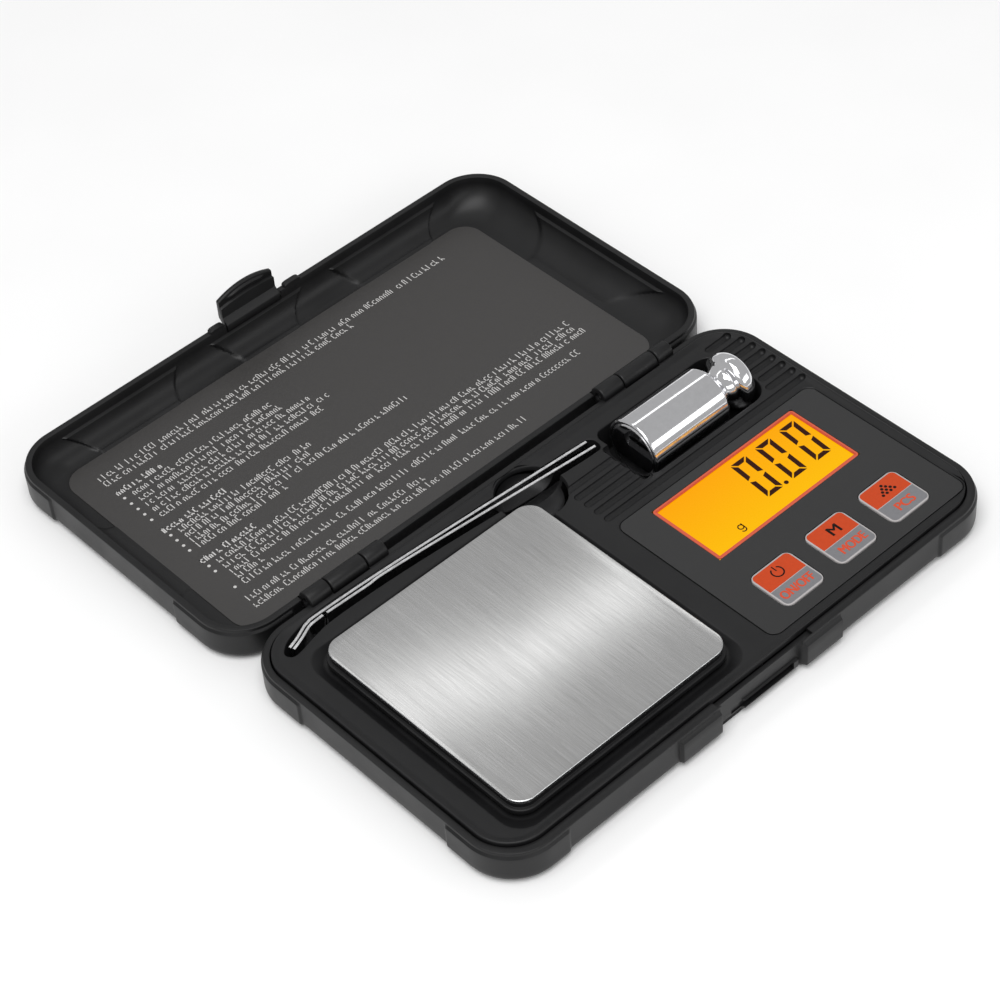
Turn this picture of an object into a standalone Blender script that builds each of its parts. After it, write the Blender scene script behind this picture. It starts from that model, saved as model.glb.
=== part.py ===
"""Pocket gram scale with flip lid, lying open. Sizes are in millimetres, and a mesh is in metres.
The hinge axis runs along X at y = 0, z = RIM_Z. The base lies on -Y, the open lid on +Y, and the table is z = 0."""

import math

import bmesh
import bpy
from mathutils import Matrix, Vector

MM = 0.001

# Case
HALF_X = 77.5
BASE_FRONT_Y = -89.1
BASE_BACK_Y = -1.2
BASE_INNER_Y = -88.6
LID_NEAR_Y = 1.2
LID_FAR_Y = 88.6
RIM_Z = 9.4
CORNER_R = 12.1
WALL = 1.65
BASE_FLOOR = 1.1
LID_FLOOR = 0.9
# How far the lid's curved inner wall reaches in at the floor: left, right, hinge side, latch side
LID_CURVE = (6.9, 10.6, 5.6, 6.0)
LID_CURVE_TOP = 7.9
BUMPER_PROUD = 0.5
OVERALL_Y = 90.2

# Deck
DECK_INSET = 2.0
DECK_TOP = 9.55
DECK_CREST = 10.1
DECK_UNDER = 8.35
WELL_FLOOR = 7.6

# Platform
PLATE_X = (-65.7, -1.6)
PLATE_Y = (-80.0, -15.5)
PLATE_TOP = 12.4
PLATE_T = 1.0
PLATE_R = 4.4
PLATE_BOX = (*PLATE_X, *PLATE_Y)
PLATE_MID_Y = (PLATE_Y[0] + PLATE_Y[1]) / 2

# Display and keys
LCD_X = (16.7, 64.1)
LCD_Y = (-58.9, -36.8)
KEY_X = (22.9, 40.7, 58.75)
KEY_Y = -73.9
KEY_SIZE = (13.3, 13.1)
KEY_R = 2.3
KEY_GAP = 0.3
KEY_NAMES = ("power", "mode", "count")
OVERLAY_X = (7.7, 73.3)
OVERLAY_Y = (-84.0, -34.0)
OVERLAY_R = 2.8
RECESS_FLOOR = 9.15

# Weight
WEIGHT_Y = -19.1
WEIGHT_Z = RIM_Z
WEIGHT_R = 8.15
WEIGHT_X0 = 28.3

# Hinges: (start, first split, second split, end) of each barrel
HINGES = {"left": (-57.3, -51.0, -40.2, -34.0), "right": (35.6, 42.5, 54.0, 59.2)}
BARREL_R = 2.5
BARREL_CLEAR = 2.8
PIN_R = 1.0
PIN_HOLE_R = 1.08

# Grooves in the deck: (centre y, start x, end x)
GROOVES = (
    (-17.8, 7.9, 24.0),
    (-21.1, 7.9, 24.0),
    (-24.4, 7.9, 24.0),
    (-27.7, 7.9, 24.0),
    (-31.0, 7.9, 74.6),
    (-7.8, 65.4, 72.9),
    (-11.3, 67.4, 74.3),
    (-14.6, 67.4, 74.6),
    (-17.9, 67.4, 74.6),
    (-21.2, 67.4, 74.6),
    (-24.5, 67.4, 74.6),
    (-27.8, 67.4, 74.6),
)
GROOVE_W = 2.2
GROOVE_DEPTH = 0.6

# Deck openings: (x start, x end, y start, y end), and the finger scoop's centre and radius
WELL = (-69.6, 1.4, -84.0, -12.6)
POCKET = (25.6, 65.9, -28.6, -8.6)
SCOOP = (1.9, -12.1, 9.0)
OPEN_TOP = 12.0
TUB_JOIN = DECK_UNDER + 0.3

# Front wall: two pads and the latch recess between them
PADS = {"pad_a": (-27.3, -14.5), "pad_b": (11.7, 24.2)}
PAD_BACK_Y = -88.2
RECESS_X = (-14.8, 12.0)
LEDGE_X = (-7.2, 8.0)
GROOVE_X = (-10.2, 9.0)

# Latch
LATCH_X = (-9.7, 7.5)
LATCH_TOP = 17.3
LATCH_ARCH = 1.9
LATCH_PIVOT = (0.0, 88.0, 8.0)
SHOULDERS = {"shoulder_a": (-14.8, -10.4), "shoulder_b": (9.4, 14.6)}

# Lid label
LABEL_BOX = (-68.7, 65.0, 8.7, 80.7)
LABEL_R = 5.7

# Tweezers
TWEEZER_T = 0.7
TWEEZER_Z = (4.2, 10.4)
PIVOT = (-33.9, -7.25)

# Cells
CELL_Y = -60.0
CELL_X = (27.0, 50.0)
COVER_BOX = (14.5, 62.5, -72.0, -48.0)

SCREW_SPOTS = ((71.2, -36.0), (71.2, -80.5), (5.2, -33.5), (5.2, -80.0))


def key_box(centre_x, gap):
    """A key's place in the deck, drawn in by gap on every side."""
    half_w = KEY_SIZE[0] / 2 - gap
    half_h = KEY_SIZE[1] / 2 - gap
    return (centre_x - half_w, centre_x + half_w, KEY_Y - half_h, KEY_Y + half_h)


def clear_scene():
    for obj in list(bpy.data.objects):
        bpy.data.objects.remove(obj, do_unlink=True)


clear_scene()

scale_parts = bpy.data.collections.new("gram_scale")
bpy.context.scene.collection.children.link(scale_parts)
cutter_parts = bpy.data.collections.new("cutters")
cutter_parts.hide_render = True
bpy.context.scene.collection.children.link(cutter_parts)


def material(name, color, roughness, metallic=0.0):
    mat = bpy.data.materials.new(name)
    mat.use_nodes = True
    shader = mat.node_tree.nodes["Principled BSDF"]
    shader.inputs["Base Color"].default_value = (color[0], color[1], color[2], 1.0)
    shader.inputs["Roughness"].default_value = roughness
    shader.inputs["Metallic"].default_value = metallic
    mat.diffuse_color = (color[0], color[1], color[2], 1.0)
    return mat


def rounded_rect(x0, x1, y0, y1, r, steps=6):
    """Corner points of a rounded rectangle, counter-clockwise from the right side's lower corner."""
    points = []
    corners = ((x1 - r, y0 + r, -90), (x1 - r, y1 - r, 0), (x0 + r, y1 - r, 90), (x0 + r, y0 + r, 180))
    for cx, cy, start in corners:
        for i in range(steps + 1):
            angle = math.radians(start + 90.0 * i / steps)
            points.append((cx + r * math.cos(angle), cy + r * math.sin(angle)))
    return points


def inset_rect(box, inset, r, steps=6):
    """The box's rounded outline, moved in by inset on every side. A corner keeps its centre."""
    x0, x1, y0, y1 = box
    return rounded_rect(x0 + inset, x1 - inset, y0 + inset, y1 - inset, max(r - inset, 0.2), steps)


def grown_rect(box, grow, r, steps=6):
    """The box moved out by grow on every side, with corners of radius r."""
    x0, x1, y0, y1 = box
    return rounded_rect(x0 - grow, x1 + grow, y0 - grow, y1 + grow, r, steps)


def offset_outline(points, distance):
    """A counter-clockwise outline moved out by distance, with mitred corners."""
    result = []
    count = len(points)
    for i in range(count):
        before = Vector(points[i - 1])
        here = Vector(points[i])
        after = Vector(points[(i + 1) % count])
        first = (here - before).normalized()
        second = (after - here).normalized()
        normal_a = Vector((first.y, -first.x))
        normal_b = Vector((second.y, -second.x))
        middle = (normal_a + normal_b).normalized()
        reach = distance / max(middle.dot(normal_a), 0.4)
        result.append((here.x + middle.x * reach, here.y + middle.y * reach))
    return result


def link(name, mesh, collection):
    obj = bpy.data.objects.new(name, mesh)
    collection.objects.link(obj)
    if collection is cutter_parts:
        obj.hide_render = True
        obj.display_type = "WIRE"
    return obj


def loft(name, rings, collection, closed_loop=False):
    """A solid through rings of (outline, z). The ends are capped, or the last ring joins the first."""
    mesh = bpy.data.meshes.new(name)
    bm = bmesh.new()
    levels = []
    for outline, z in rings:
        levels.append([bm.verts.new((x * MM, y * MM, z * MM)) for x, y in outline])
    count = len(levels[0])
    pairs = list(zip(levels, levels[1:]))
    if closed_loop:
        pairs.append((levels[-1], levels[0]))
    for low, high in pairs:
        for i in range(count):
            j = (i + 1) % count
            bm.faces.new((low[i], low[j], high[j], high[i]))
    if not closed_loop:
        bm.faces.new(list(reversed(levels[0])))
        bm.faces.new(levels[-1])
    bm.to_mesh(mesh)
    bm.free()
    return link(name, mesh, collection)


def box(name, x, y, z, collection):
    outline = [(x[0], y[0]), (x[1], y[0]), (x[1], y[1]), (x[0], y[1])]
    return loft(name, [(outline, z[0]), (outline, z[1])], collection)


def disc(x, y, r, steps=24):
    return [
        (x + r * math.cos(2 * math.pi * i / steps), y + r * math.sin(2 * math.pi * i / steps))
        for i in range(steps)
    ]


def column(name, x, y, r, z, collection, steps=24):
    return loft(name, [(disc(x, y, r, steps), z[0]), (disc(x, y, r, steps), z[1])], collection)


def lathe_x(name, profile, y, z, collection, steps=32):
    """A solid turned about a line along X, capped at both ends. The profile lists (x, radius), x rising."""
    mesh = bpy.data.meshes.new(name)
    bm = bmesh.new()
    levels = []
    for x, r in profile:
        ring = []
        for i in range(steps):
            angle = 2 * math.pi * i / steps
            here = Vector((x, y + r * math.cos(angle), z + r * math.sin(angle)))
            ring.append(bm.verts.new(here * MM))
        levels.append(ring)
    for low, high in zip(levels, levels[1:]):
        for i in range(steps):
            j = (i + 1) % steps
            bm.faces.new((low[i], low[j], high[j], high[i]))
    bm.faces.new(list(reversed(levels[0])))
    bm.faces.new(levels[-1])
    bm.to_mesh(mesh)
    bm.free()
    return link(name, mesh, collection)


def combine(target, other, operation):
    """Applies one exact Boolean at once, then removes the other solid."""
    modifier = target.modifiers.new("cut", "BOOLEAN")
    modifier.operation = operation
    modifier.solver = "EXACT"
    modifier.object = other
    bpy.context.view_layer.update()
    graph = bpy.context.evaluated_depsgraph_get()
    mesh = bpy.data.meshes.new_from_object(target.evaluated_get(graph))
    target.modifiers.remove(modifier)
    bm = bmesh.new()
    bm.from_mesh(mesh)
    bmesh.ops.remove_doubles(bm, verts=bm.verts, dist=0.000004)
    bmesh.ops.dissolve_degenerate(bm, edges=bm.edges, dist=0.000002)
    bm.to_mesh(mesh)
    bm.free()
    old = target.data
    target.data = mesh
    bpy.data.meshes.remove(old)
    bpy.data.objects.remove(other, do_unlink=True)


def cut(target, *others):
    for other in others:
        combine(target, other, "DIFFERENCE")


def add(target, *others):
    for other in others:
        combine(target, other, "UNION")


def finish(obj, mat, origin=(0.0, 0.0, 0.0)):
    """Names the mesh, gives it its one material, and moves its origin to a joint."""
    obj.data.name = obj.name
    obj.data.materials.clear()
    obj.data.materials.append(mat)
    move = Vector(origin) * MM
    obj.data.transform(Matrix.Translation(-move))
    obj.location = move
    return obj


black = material("black_satin_plastic", (0.035, 0.035, 0.037), 0.45)
lid_black = material("lid_black_plastic", (0.035, 0.035, 0.037), 0.45)
deck_black = material("deck_black_plastic", (0.04, 0.04, 0.042), 0.5)
latch_black = material("latch_black_plastic", (0.035, 0.035, 0.037), 0.45)


# Case halves ---------------------------------------------------------------


def base_inner_rings():
    """The base's inner wall, straight down to a small rounding at the floor."""
    frame = (-HALF_X, HALF_X, BASE_INNER_Y, BASE_BACK_Y)
    return [
        (inset_rect(frame, WALL, CORNER_R), BASE_FLOOR + 0.9),
        (inset_rect(frame, 2.4, CORNER_R), BASE_FLOOR),
    ]


def lid_inner_rings():
    """The lid's inner wall, which curves in to the floor, further on the right than elsewhere."""
    left, right, near, far = LID_CURVE
    rings = []
    for degrees in (0, 25, 50, 70, 90):
        angle = math.radians(degrees)
        share = 1.0 - math.cos(angle)
        z = LID_CURVE_TOP - (LID_CURVE_TOP - LID_FLOOR) * math.sin(angle)
        x0 = -HALF_X + WALL + left * share
        x1 = HALF_X - WALL - right * share
        y0 = LID_NEAR_Y + WALL + near * share
        y1 = LID_FAR_Y - WALL - far * share
        rings.append((rounded_rect(x0, x1, y0, y1, CORNER_R - WALL - 4.5 * share), z))
    return rings


def case_half(name, y0, y1, inner_y0, inner_rings, bumper_edges):
    """An open tray with a rounded bottom edge and a proud bumper round each corner."""
    frame = (-HALF_X, HALF_X, y0, y1)
    inner_frame = (-HALF_X, HALF_X, inner_y0, y1)
    shell = loft(
        name,
        [
            (inset_rect(frame, 1.9, CORNER_R), 0.0),
            (inset_rect(frame, 0.9, CORNER_R), 0.35),
            (inset_rect(frame, 0.25, CORNER_R), 1.1),
            (inset_rect(frame, 0.05, CORNER_R), 2.1),
            (inset_rect(frame, 0.0, CORNER_R), RIM_Z),
            (inset_rect(inner_frame, WALL, CORNER_R), RIM_Z),
        ]
        + inner_rings,
        scale_parts,
    )
    bumper = loft(
        name + "_bumper",
        [
            (inset_rect(frame, 2.3, CORNER_R), 0.5),
            (inset_rect(frame, 1.3, CORNER_R), 0.0),
            (inset_rect(frame, 0.3, CORNER_R), 0.5),
            (inset_rect(frame, -BUMPER_PROUD, CORNER_R), 1.6),
            (inset_rect(frame, -BUMPER_PROUD, CORNER_R), 7.6),
            (inset_rect(frame, 0.4, CORNER_R), 8.6),
            (inset_rect(frame, 1.0, CORNER_R), 8.3),
            (inset_rect(frame, 1.0, CORNER_R), 1.5),
        ],
        cutter_parts,
        closed_loop=True,
    )
    side_y0, side_y1, end_x0, end_x1 = bumper_edges
    cut(
        bumper,
        box("gap_a", (-99, 99), (side_y0, side_y1), (-1, 12), cutter_parts),
        box("gap_b", (end_x0, end_x1), (y0 - 9, y1 + 9), (-1, 12), cutter_parts),
    )
    add(shell, bumper)
    return shell


# Where the straight walls between the bumpers start and end: (side start, side end, end start, end end)
BASE_GAPS = (-69.0, -22.0, -59.8, 57.1)
LID_GAPS = (23.7, 70.0, -59.8, 57.1)
base_shell = case_half("base_shell", BASE_FRONT_Y, BASE_BACK_Y, BASE_INNER_Y, base_inner_rings(), BASE_GAPS)
lid_rings = lid_inner_rings()
lid_shell = case_half("lid_shell", LID_NEAR_Y, LID_FAR_Y, LID_NEAR_Y, lid_rings, LID_GAPS)

# The two pads and the latch recess in the front wall
for pad_name, (x0, x1) in PADS.items():
    pad = loft(
        pad_name,
        [
            (rounded_rect(x0, x1, -89.6, PAD_BACK_Y, 0.5, 2), 0.9),
            (rounded_rect(x0, x1, -OVERALL_Y, PAD_BACK_Y, 0.5, 2), 2.0),
            (rounded_rect(x0, x1, -OVERALL_Y, PAD_BACK_Y, 0.5, 2), 7.2),
            (rounded_rect(x0, x1, -89.3, PAD_BACK_Y, 0.5, 2), 8.4),
        ],
        cutter_parts,
    )
    add(base_shell, pad)
cut(base_shell, box("latch_recess", RECESS_X, (-91.0, -88.1), (0.62, 12.0), cutter_parts))
add(base_shell, box("latch_ledge", LEDGE_X, (-88.25, -87.8), (4.4, 5.6), cutter_parts))
cut(base_shell, box("latch_groove", GROOVE_X, (-89.0, -87.75), (2.2, 4.1), cutter_parts))

# Shoulders either side of the latch
for shoulder_name, (x0, x1) in SHOULDERS.items():
    shoulder = loft(
        shoulder_name,
        [
            (rounded_rect(x0, x1, LID_FAR_Y - WALL, LID_FAR_Y, 0.3, 1), RIM_Z - 0.5),
            (rounded_rect(x0, x1, LID_FAR_Y - WALL, LID_FAR_Y, 0.3, 1), RIM_Z + 0.3),
            (rounded_rect(x0 + 0.9, x1 - 0.9, LID_FAR_Y - WALL, LID_FAR_Y, 0.3, 1), RIM_Z + 0.8),
        ],
        cutter_parts,
    )
    add(lid_shell, shoulder)
cut(lid_shell, box("latch_seat", (-10.1, 7.9), (86.4, 92.0), (6.9, 12.0), cutter_parts))
cut(base_shell, box("shoulder_room", (-15.2, 15.0), (-88.9, -86.8), (8.3, 12.0), cutter_parts))


# Hinges --------------------------------------------------------------------


def barrel_profile(x0, x1):
    """A knuckle with small chamfers at its ends."""
    return [(x0, BARREL_R - 0.3), (x0 + 0.3, BARREL_R), (x1 - 0.3, BARREL_R), (x1, BARREL_R - 0.3)]


for side, (start, split_a, split_b, end) in HINGES.items():
    gap = 0.15
    base_knuckles = ((start, split_a - gap), (split_b + gap, end))
    lid_knuckle = (split_a + gap, split_b - gap)
    for x0, x1 in base_knuckles:
        room = [(x0 - 0.3, BARREL_CLEAR), (x1 + 0.15, BARREL_CLEAR)]
        cut(lid_shell, lathe_x("room", room, 0.0, RIM_Z, cutter_parts, 24))
        add(base_shell, lathe_x("barrel", barrel_profile(x0, x1), 0.0, RIM_Z, cutter_parts, 24))
    x0, x1 = lid_knuckle
    room = [(x0 - 0.15, BARREL_CLEAR), (x1 + 0.15, BARREL_CLEAR)]
    cut(base_shell, lathe_x("room", room, 0.0, RIM_Z, cutter_parts, 24))
    add(lid_shell, lathe_x("barrel", barrel_profile(x0, x1), 0.0, RIM_Z, cutter_parts, 24))
    for shell in (base_shell, lid_shell):
        hole = [(start - 2.0, PIN_HOLE_R), (end + 2.0, PIN_HOLE_R)]
        cut(shell, lathe_x("pin_hole", hole, 0.0, RIM_Z, cutter_parts, 24))
    pin_profile = [(start + 0.8, PIN_R), (end - 0.8, PIN_R)]
    pin = lathe_x("hinge_pin_" + side, pin_profile, 0.0, RIM_Z, scale_parts, 24)
    finish(pin, material("pin_steel_" + side, (0.6, 0.6, 0.62), 0.3, 1.0), (0.0, 0.0, RIM_Z))


# Deck ----------------------------------------------------------------------

deck_frame = (-HALF_X, HALF_X, BASE_INNER_Y, BASE_BACK_Y)
top_deck = loft(
    "top_deck",
    [
        (inset_rect(deck_frame, DECK_INSET, CORNER_R), DECK_UNDER),
        (inset_rect(deck_frame, DECK_INSET, CORNER_R), DECK_CREST - 0.15),
        (inset_rect(deck_frame, DECK_INSET + 0.2, CORNER_R), DECK_CREST),
        (inset_rect(deck_frame, DECK_INSET + 2.0, CORNER_R), DECK_TOP),
    ],
    scale_parts,
)

CHANNEL = [
    (-69.9, -11.4),
    (-63.0, -9.6),
    (-57.0, -8.5),
    (-33.5, -9.0),
    (22.6, -13.8),
    (24.4, -12.4),
    (24.4, -9.4),
    (22.3, -8.2),
    (-33.0, -5.0),
    (-60.0, -4.3),
    (-67.8, -6.0),
    (-71.4, -8.8),
]

# Tubs that hang under the deck
channel_tub = loft(
    "channel_tub",
    [(offset_outline(CHANNEL, 1.0), 2.7), (offset_outline(CHANNEL, 1.0), TUB_JOIN)],
    cutter_parts,
)
well_tub = loft(
    "well_tub",
    [
        (grown_rect(WELL, 0.6, 6.0), WELL_FLOOR - 1.2),
        (grown_rect(WELL, 0.9, 6.0), TUB_JOIN),
    ],
    cutter_parts,
)
pocket_tub = loft(
    "pocket_tub",
    [
        (grown_rect(POCKET, 1.2, 3.2), 1.4),
        (grown_rect(POCKET, 1.2, 3.2), TUB_JOIN),
    ],
    cutter_parts,
)
scoop_tub = column("scoop_tub", SCOOP[0], SCOOP[1] + 0.6, SCOOP[2] - 0.9, (3.4, TUB_JOIN), cutter_parts)
add(top_deck, well_tub, channel_tub, scoop_tub, pocket_tub)

# What is open in it
well = loft(
    "well",
    [
        (grown_rect(PLATE_BOX, 1.3, 5.2), WELL_FLOOR),
        (rounded_rect(*WELL, 6.5), DECK_TOP),
        (rounded_rect(*WELL, 6.5), DECK_TOP + 1.0),
    ],
    cutter_parts,
)
channel = loft("channel", [(CHANNEL, 3.7), (CHANNEL, OPEN_TOP)], cutter_parts)
pocket = loft(
    "pocket",
    [(rounded_rect(*POCKET, 2.0), 0.0), (rounded_rect(*POCKET, 2.0), OPEN_TOP)],
    cutter_parts,
)
scoop = loft(
    "scoop",
    [
        (disc(SCOOP[0], SCOOP[1] + 0.6, SCOOP[2] - 3.2), 4.6),
        (disc(SCOOP[0], SCOOP[1] + 0.3, SCOOP[2] - 1.4), 6.2),
        (disc(SCOOP[0], SCOOP[1], SCOOP[2]), DECK_TOP + 0.05),
        (disc(SCOOP[0], SCOOP[1], SCOOP[2]), OPEN_TOP),
    ],
    cutter_parts,
)
post_hole = box("post_hole", (-27.0, -11.0), (-56.0, -39.5), (4.0, 9.0), cutter_parts)
cut(top_deck, well, channel, scoop, pocket, post_hole)

recess = loft(
    "recess",
    [
        (rounded_rect(*OVERLAY_X, *OVERLAY_Y, OVERLAY_R), RECESS_FLOOR),
        (rounded_rect(*OVERLAY_X, *OVERLAY_Y, OVERLAY_R), OPEN_TOP),
    ],
    cutter_parts,
)
cut(top_deck, recess, box("lcd_hole", LCD_X, LCD_Y, (5.0, 12.0), cutter_parts))
for centre_x in KEY_X:
    hole = rounded_rect(*key_box(centre_x, 0.0), KEY_R, 4)
    cut(top_deck, loft("key_hole", [(hole, 5.0), (hole, OPEN_TOP)], cutter_parts))
for groove_y, x0, x1 in GROOVES:
    low = rounded_rect(x0 + 0.4, x1 - 0.4, groove_y - 0.4, groove_y + 0.4, 0.35, 2)
    high = rounded_rect(x0, x1, groove_y - GROOVE_W / 2, groove_y + GROOVE_W / 2, GROOVE_W / 2 - 0.05, 2)
    levels = [(low, DECK_TOP - GROOVE_DEPTH), (high, DECK_TOP + 0.02), (high, OPEN_TOP)]
    groove = loft("groove", levels, cutter_parts)
    cut(top_deck, groove)

# Screws that hold the deck to the base shell
for n, (x, y) in enumerate(SCREW_SPOTS):
    add(top_deck, column("boss", x, y, 2.3, (3.6, DECK_UNDER + 0.2), cutter_parts, 16))
    cut(top_deck, column("boss_hole", x, y, 1.3, (3.0, 7.4), cutter_parts, 16))
    add(base_shell, column("post", x, y, 3.2, (0.8, 3.3), cutter_parts, 16))
    cut(base_shell, column("screw_hole", x, y, 1.6, (-1.0, 4.0), cutter_parts, 16))
    cut(base_shell, column("head_hole", x, y, 2.5, (-1.0, 1.4), cutter_parts, 16))
    screw = column("case_screw_%d" % (n + 1), x, y, 1.15, (1.0, 7.0), scale_parts, 16)
    add(screw, column("head", x, y, 2.2, (0.4, 1.3), cutter_parts, 16))
    cut(screw, box("slot", (x - 1.4, x + 1.4), (y - 0.25, y + 0.25), (0.0, 0.8), cutter_parts))
    finish(screw, material("screw_steel_%d" % (n + 1), (0.45, 0.45, 0.47), 0.35, 1.0))


# Load cell -----------------------------------------------------------------

load_cell = box("load_cell", (-56.0, -12.5), (PLATE_MID_Y - 5.5, PLATE_MID_Y + 5.5), (2.2, 5.8), scale_parts)
for x in (-38.0, -30.0):
    bore = lathe_x("bore", [(-1.0, 1.2), (1.0, 1.2)], 0.0, 0.0, cutter_parts, 16)
    bore.data.transform(Matrix.Rotation(math.pi / 2, 4, "Z"))
    bore.data.transform(Matrix.Diagonal((1.0, 9.0, 1.0, 1.0)))
    bore.data.transform(Matrix.Translation(Vector((x, PLATE_MID_Y, 4.0)) * MM))
    cut(load_cell, bore)
cut(load_cell, box("bridge", (-38.0, -30.0), (PLATE_MID_Y - 7, PLATE_MID_Y + 7), (3.5, 4.5), cutter_parts))
spacer = box(
    "load_cell_spacer", (-55.0, -45.0), (PLATE_MID_Y - 5.0, PLATE_MID_Y + 5.0), (BASE_FLOOR + 0.1, 2.1), scale_parts
)
for n, dy in enumerate((-2.8, 2.8)):
    y = PLATE_MID_Y + dy
    cut(load_cell, column("cell_hole", -50.0, y, 1.35, (0.0, 5.0), cutter_parts, 16))
    cut(spacer, column("spacer_hole", -50.0, y, 1.6, (0.0, 5.0), cutter_parts, 16))
    cut(base_shell, column("cell_screw_hole", -50.0, y, 1.6, (-1.0, 2.0), cutter_parts, 16))
    cell_screw = column("load_cell_screw_%d" % (n + 1), -50.0, y, 1.25, (0.2, 4.6), scale_parts, 16)
    finish(cell_screw, material("cell_screw_steel_%d" % (n + 1), (0.45, 0.45, 0.47), 0.35, 1.0))
finish(load_cell, material("load_cell_aluminium", (0.75, 0.76, 0.78), 0.35, 1.0))
finish(spacer, material("spacer_aluminium", (0.7, 0.7, 0.72), 0.4, 1.0))


# Platform ------------------------------------------------------------------

carrier = loft(
    "platform_carrier",
    [
        (grown_rect(PLATE_BOX, 0.2, 4.6), 8.4),
        (grown_rect(PLATE_BOX, 0.7, 5.0), 8.9),
        (grown_rect(PLATE_BOX, 0.7, 5.0), 10.0),
        (grown_rect(PLATE_BOX, -0.2, 4.2), 10.1),
        (grown_rect(PLATE_BOX, -0.2, 4.2), PLATE_TOP - PLATE_T - 0.05),
    ],
    scale_parts,
)
add(carrier, box("post", (-25.0, -13.5), (PLATE_MID_Y - 5.0, PLATE_MID_Y + 5.0), (6.3, 9.0), cutter_parts))
finish(carrier, material("carrier_black_plastic", (0.03, 0.03, 0.032), 0.5))
plate = loft(
    "weighing_plate",
    [
        (rounded_rect(*PLATE_BOX, PLATE_R), PLATE_TOP - PLATE_T),
        (rounded_rect(*PLATE_BOX, PLATE_R), PLATE_TOP - 0.2),
        (grown_rect(PLATE_BOX, -0.2, PLATE_R - 0.2), PLATE_TOP),
    ],
    scale_parts,
)
finish(plate, material("plate_brushed_steel", (0.78, 0.78, 0.78), 0.3, 1.0))


# Display, keys and circuit board --------------------------------------------

overlay_outline = inset_rect((*OVERLAY_X, *OVERLAY_Y), 0.2, OVERLAY_R)
overlay = loft("control_overlay", [(overlay_outline, 9.2), (overlay_outline, 9.5)], scale_parts)
cut(overlay, box("window", LCD_X, LCD_Y, (5.0, 12.0), cutter_parts))
for centre_x in KEY_X:
    hole = rounded_rect(*key_box(centre_x, 0.0), KEY_R, 4)
    cut(overlay, loft("key_hole", [(hole, 5.0), (hole, OPEN_TOP)], cutter_parts))
finish(overlay, material("overlay_film", (0.05, 0.05, 0.052), 0.35))

bezel_x = (LCD_X[0] + 0.1, LCD_X[1] - 0.1)
bezel_y = (LCD_Y[0] + 0.1, LCD_Y[1] - 0.1)
bezel = box("lcd_bezel", bezel_x, bezel_y, (9.2, 9.5), scale_parts)
inner_x = (LCD_X[0] + 1.1, LCD_X[1] - 1.1)
inner_y = (LCD_Y[0] + 1.1, LCD_Y[1] - 1.1)
cut(bezel, box("view", inner_x, inner_y, (8.0, 12.0), cutter_parts))
finish(bezel, material("bezel_red_orange", (0.75, 0.12, 0.03), 0.4))
glass_x = (LCD_X[0] + 0.3, LCD_X[1] - 0.3)
glass_y = (LCD_Y[0] + 0.3, LCD_Y[1] - 0.3)
glass = box("lcd_glass", glass_x, glass_y, (8.1, 9.1), scale_parts)
finish(glass, material("display_panel", (1.0, 0.45, 0.0), 0.2))
backlight = box(
    "backlight", (LCD_X[0] + 0.6, LCD_X[1] - 0.6), (LCD_Y[0] + 0.6, LCD_Y[1] - 0.6), (7.0, 8.0), scale_parts
)
finish(backlight, material("backlight_panel", (0.95, 0.9, 0.8), 0.5))

board = box("circuit_board", (9.6, 67.4), (-83.6, -35.6), (5.4, 6.6), scale_parts)
finish(board, material("board_green", (0.02, 0.16, 0.06), 0.5))

for centre_x, key_name in zip(KEY_X, KEY_NAMES):
    wide = rounded_rect(*key_box(centre_x, KEY_GAP), KEY_R - KEY_GAP, 4)
    less = inset_rect(key_box(centre_x, KEY_GAP), 0.2, KEY_R - KEY_GAP, 4)
    key = loft("key_" + key_name, [(wide, 8.5), (wide, 9.6), (less, 9.75)], scale_parts)
    add(key, column("stem", centre_x, KEY_Y, 1.6, (7.7, 8.8), cutter_parts, 12))
    finish(key, material("key_faces_" + key_name, (0.75, 0.2, 0.08), 0.35), (centre_x, KEY_Y, 9.75))
    dome = loft(
        "dome_switch_" + key_name,
        [
            (disc(centre_x, KEY_Y, 3.0, 16), 6.65),
            (disc(centre_x, KEY_Y, 2.6, 16), 6.95),
            (disc(centre_x, KEY_Y, 1.4, 16), 7.15),
        ],
        scale_parts,
    )
    finish(dome, material("dome_metal_" + key_name, (0.7, 0.7, 0.7), 0.3, 1.0))


# Cells and battery cover -----------------------------------------------------

for n, x in enumerate(CELL_X):
    cell = loft(
        "coin_cell_%d" % (n + 1),
        [
            (disc(x, CELL_Y, 8.9, 32), 1.5),
            (disc(x, CELL_Y, 9.0, 32), 1.9),
            (disc(x, CELL_Y, 10.0, 32), 2.1),
            (disc(x, CELL_Y, 10.0, 32), 4.7),
        ],
        scale_parts,
    )
    finish(cell, material("cell_steel_%d" % (n + 1), (0.7, 0.7, 0.72), 0.3, 1.0))
    contact_name = "battery_contact_%d" % (n + 1)
    contact = box(contact_name, (x - 8.0, x + 8.0), (CELL_Y - 2.0, CELL_Y + 2.0), (4.85, 5.2), scale_parts)
    finish(contact, material("contact_metal_%d" % (n + 1), (0.7, 0.62, 0.4), 0.35, 1.0))
cut(
    base_shell,
    loft("cover_hole", [(rounded_rect(*COVER_BOX, 3.0), -1.0), (rounded_rect(*COVER_BOX, 3.0), 1.5)], cutter_parts),
)
cover = loft(
    "battery_cover",
    [(inset_rect(COVER_BOX, 0.3, 3.0), 0.1), (inset_rect(COVER_BOX, 0.3, 3.0), 1.2)],
    scale_parts,
)
for n in range(4):
    y0 = -52.5 - 1.6 * n
    cut(cover, box("grip", (30.0, 47.0), (y0, y0 + 0.7), (-1.0, 0.4), cutter_parts))
finish(cover, material("cover_black_plastic", (0.03, 0.03, 0.032), 0.5))


# Calibration weight ----------------------------------------------------------

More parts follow.
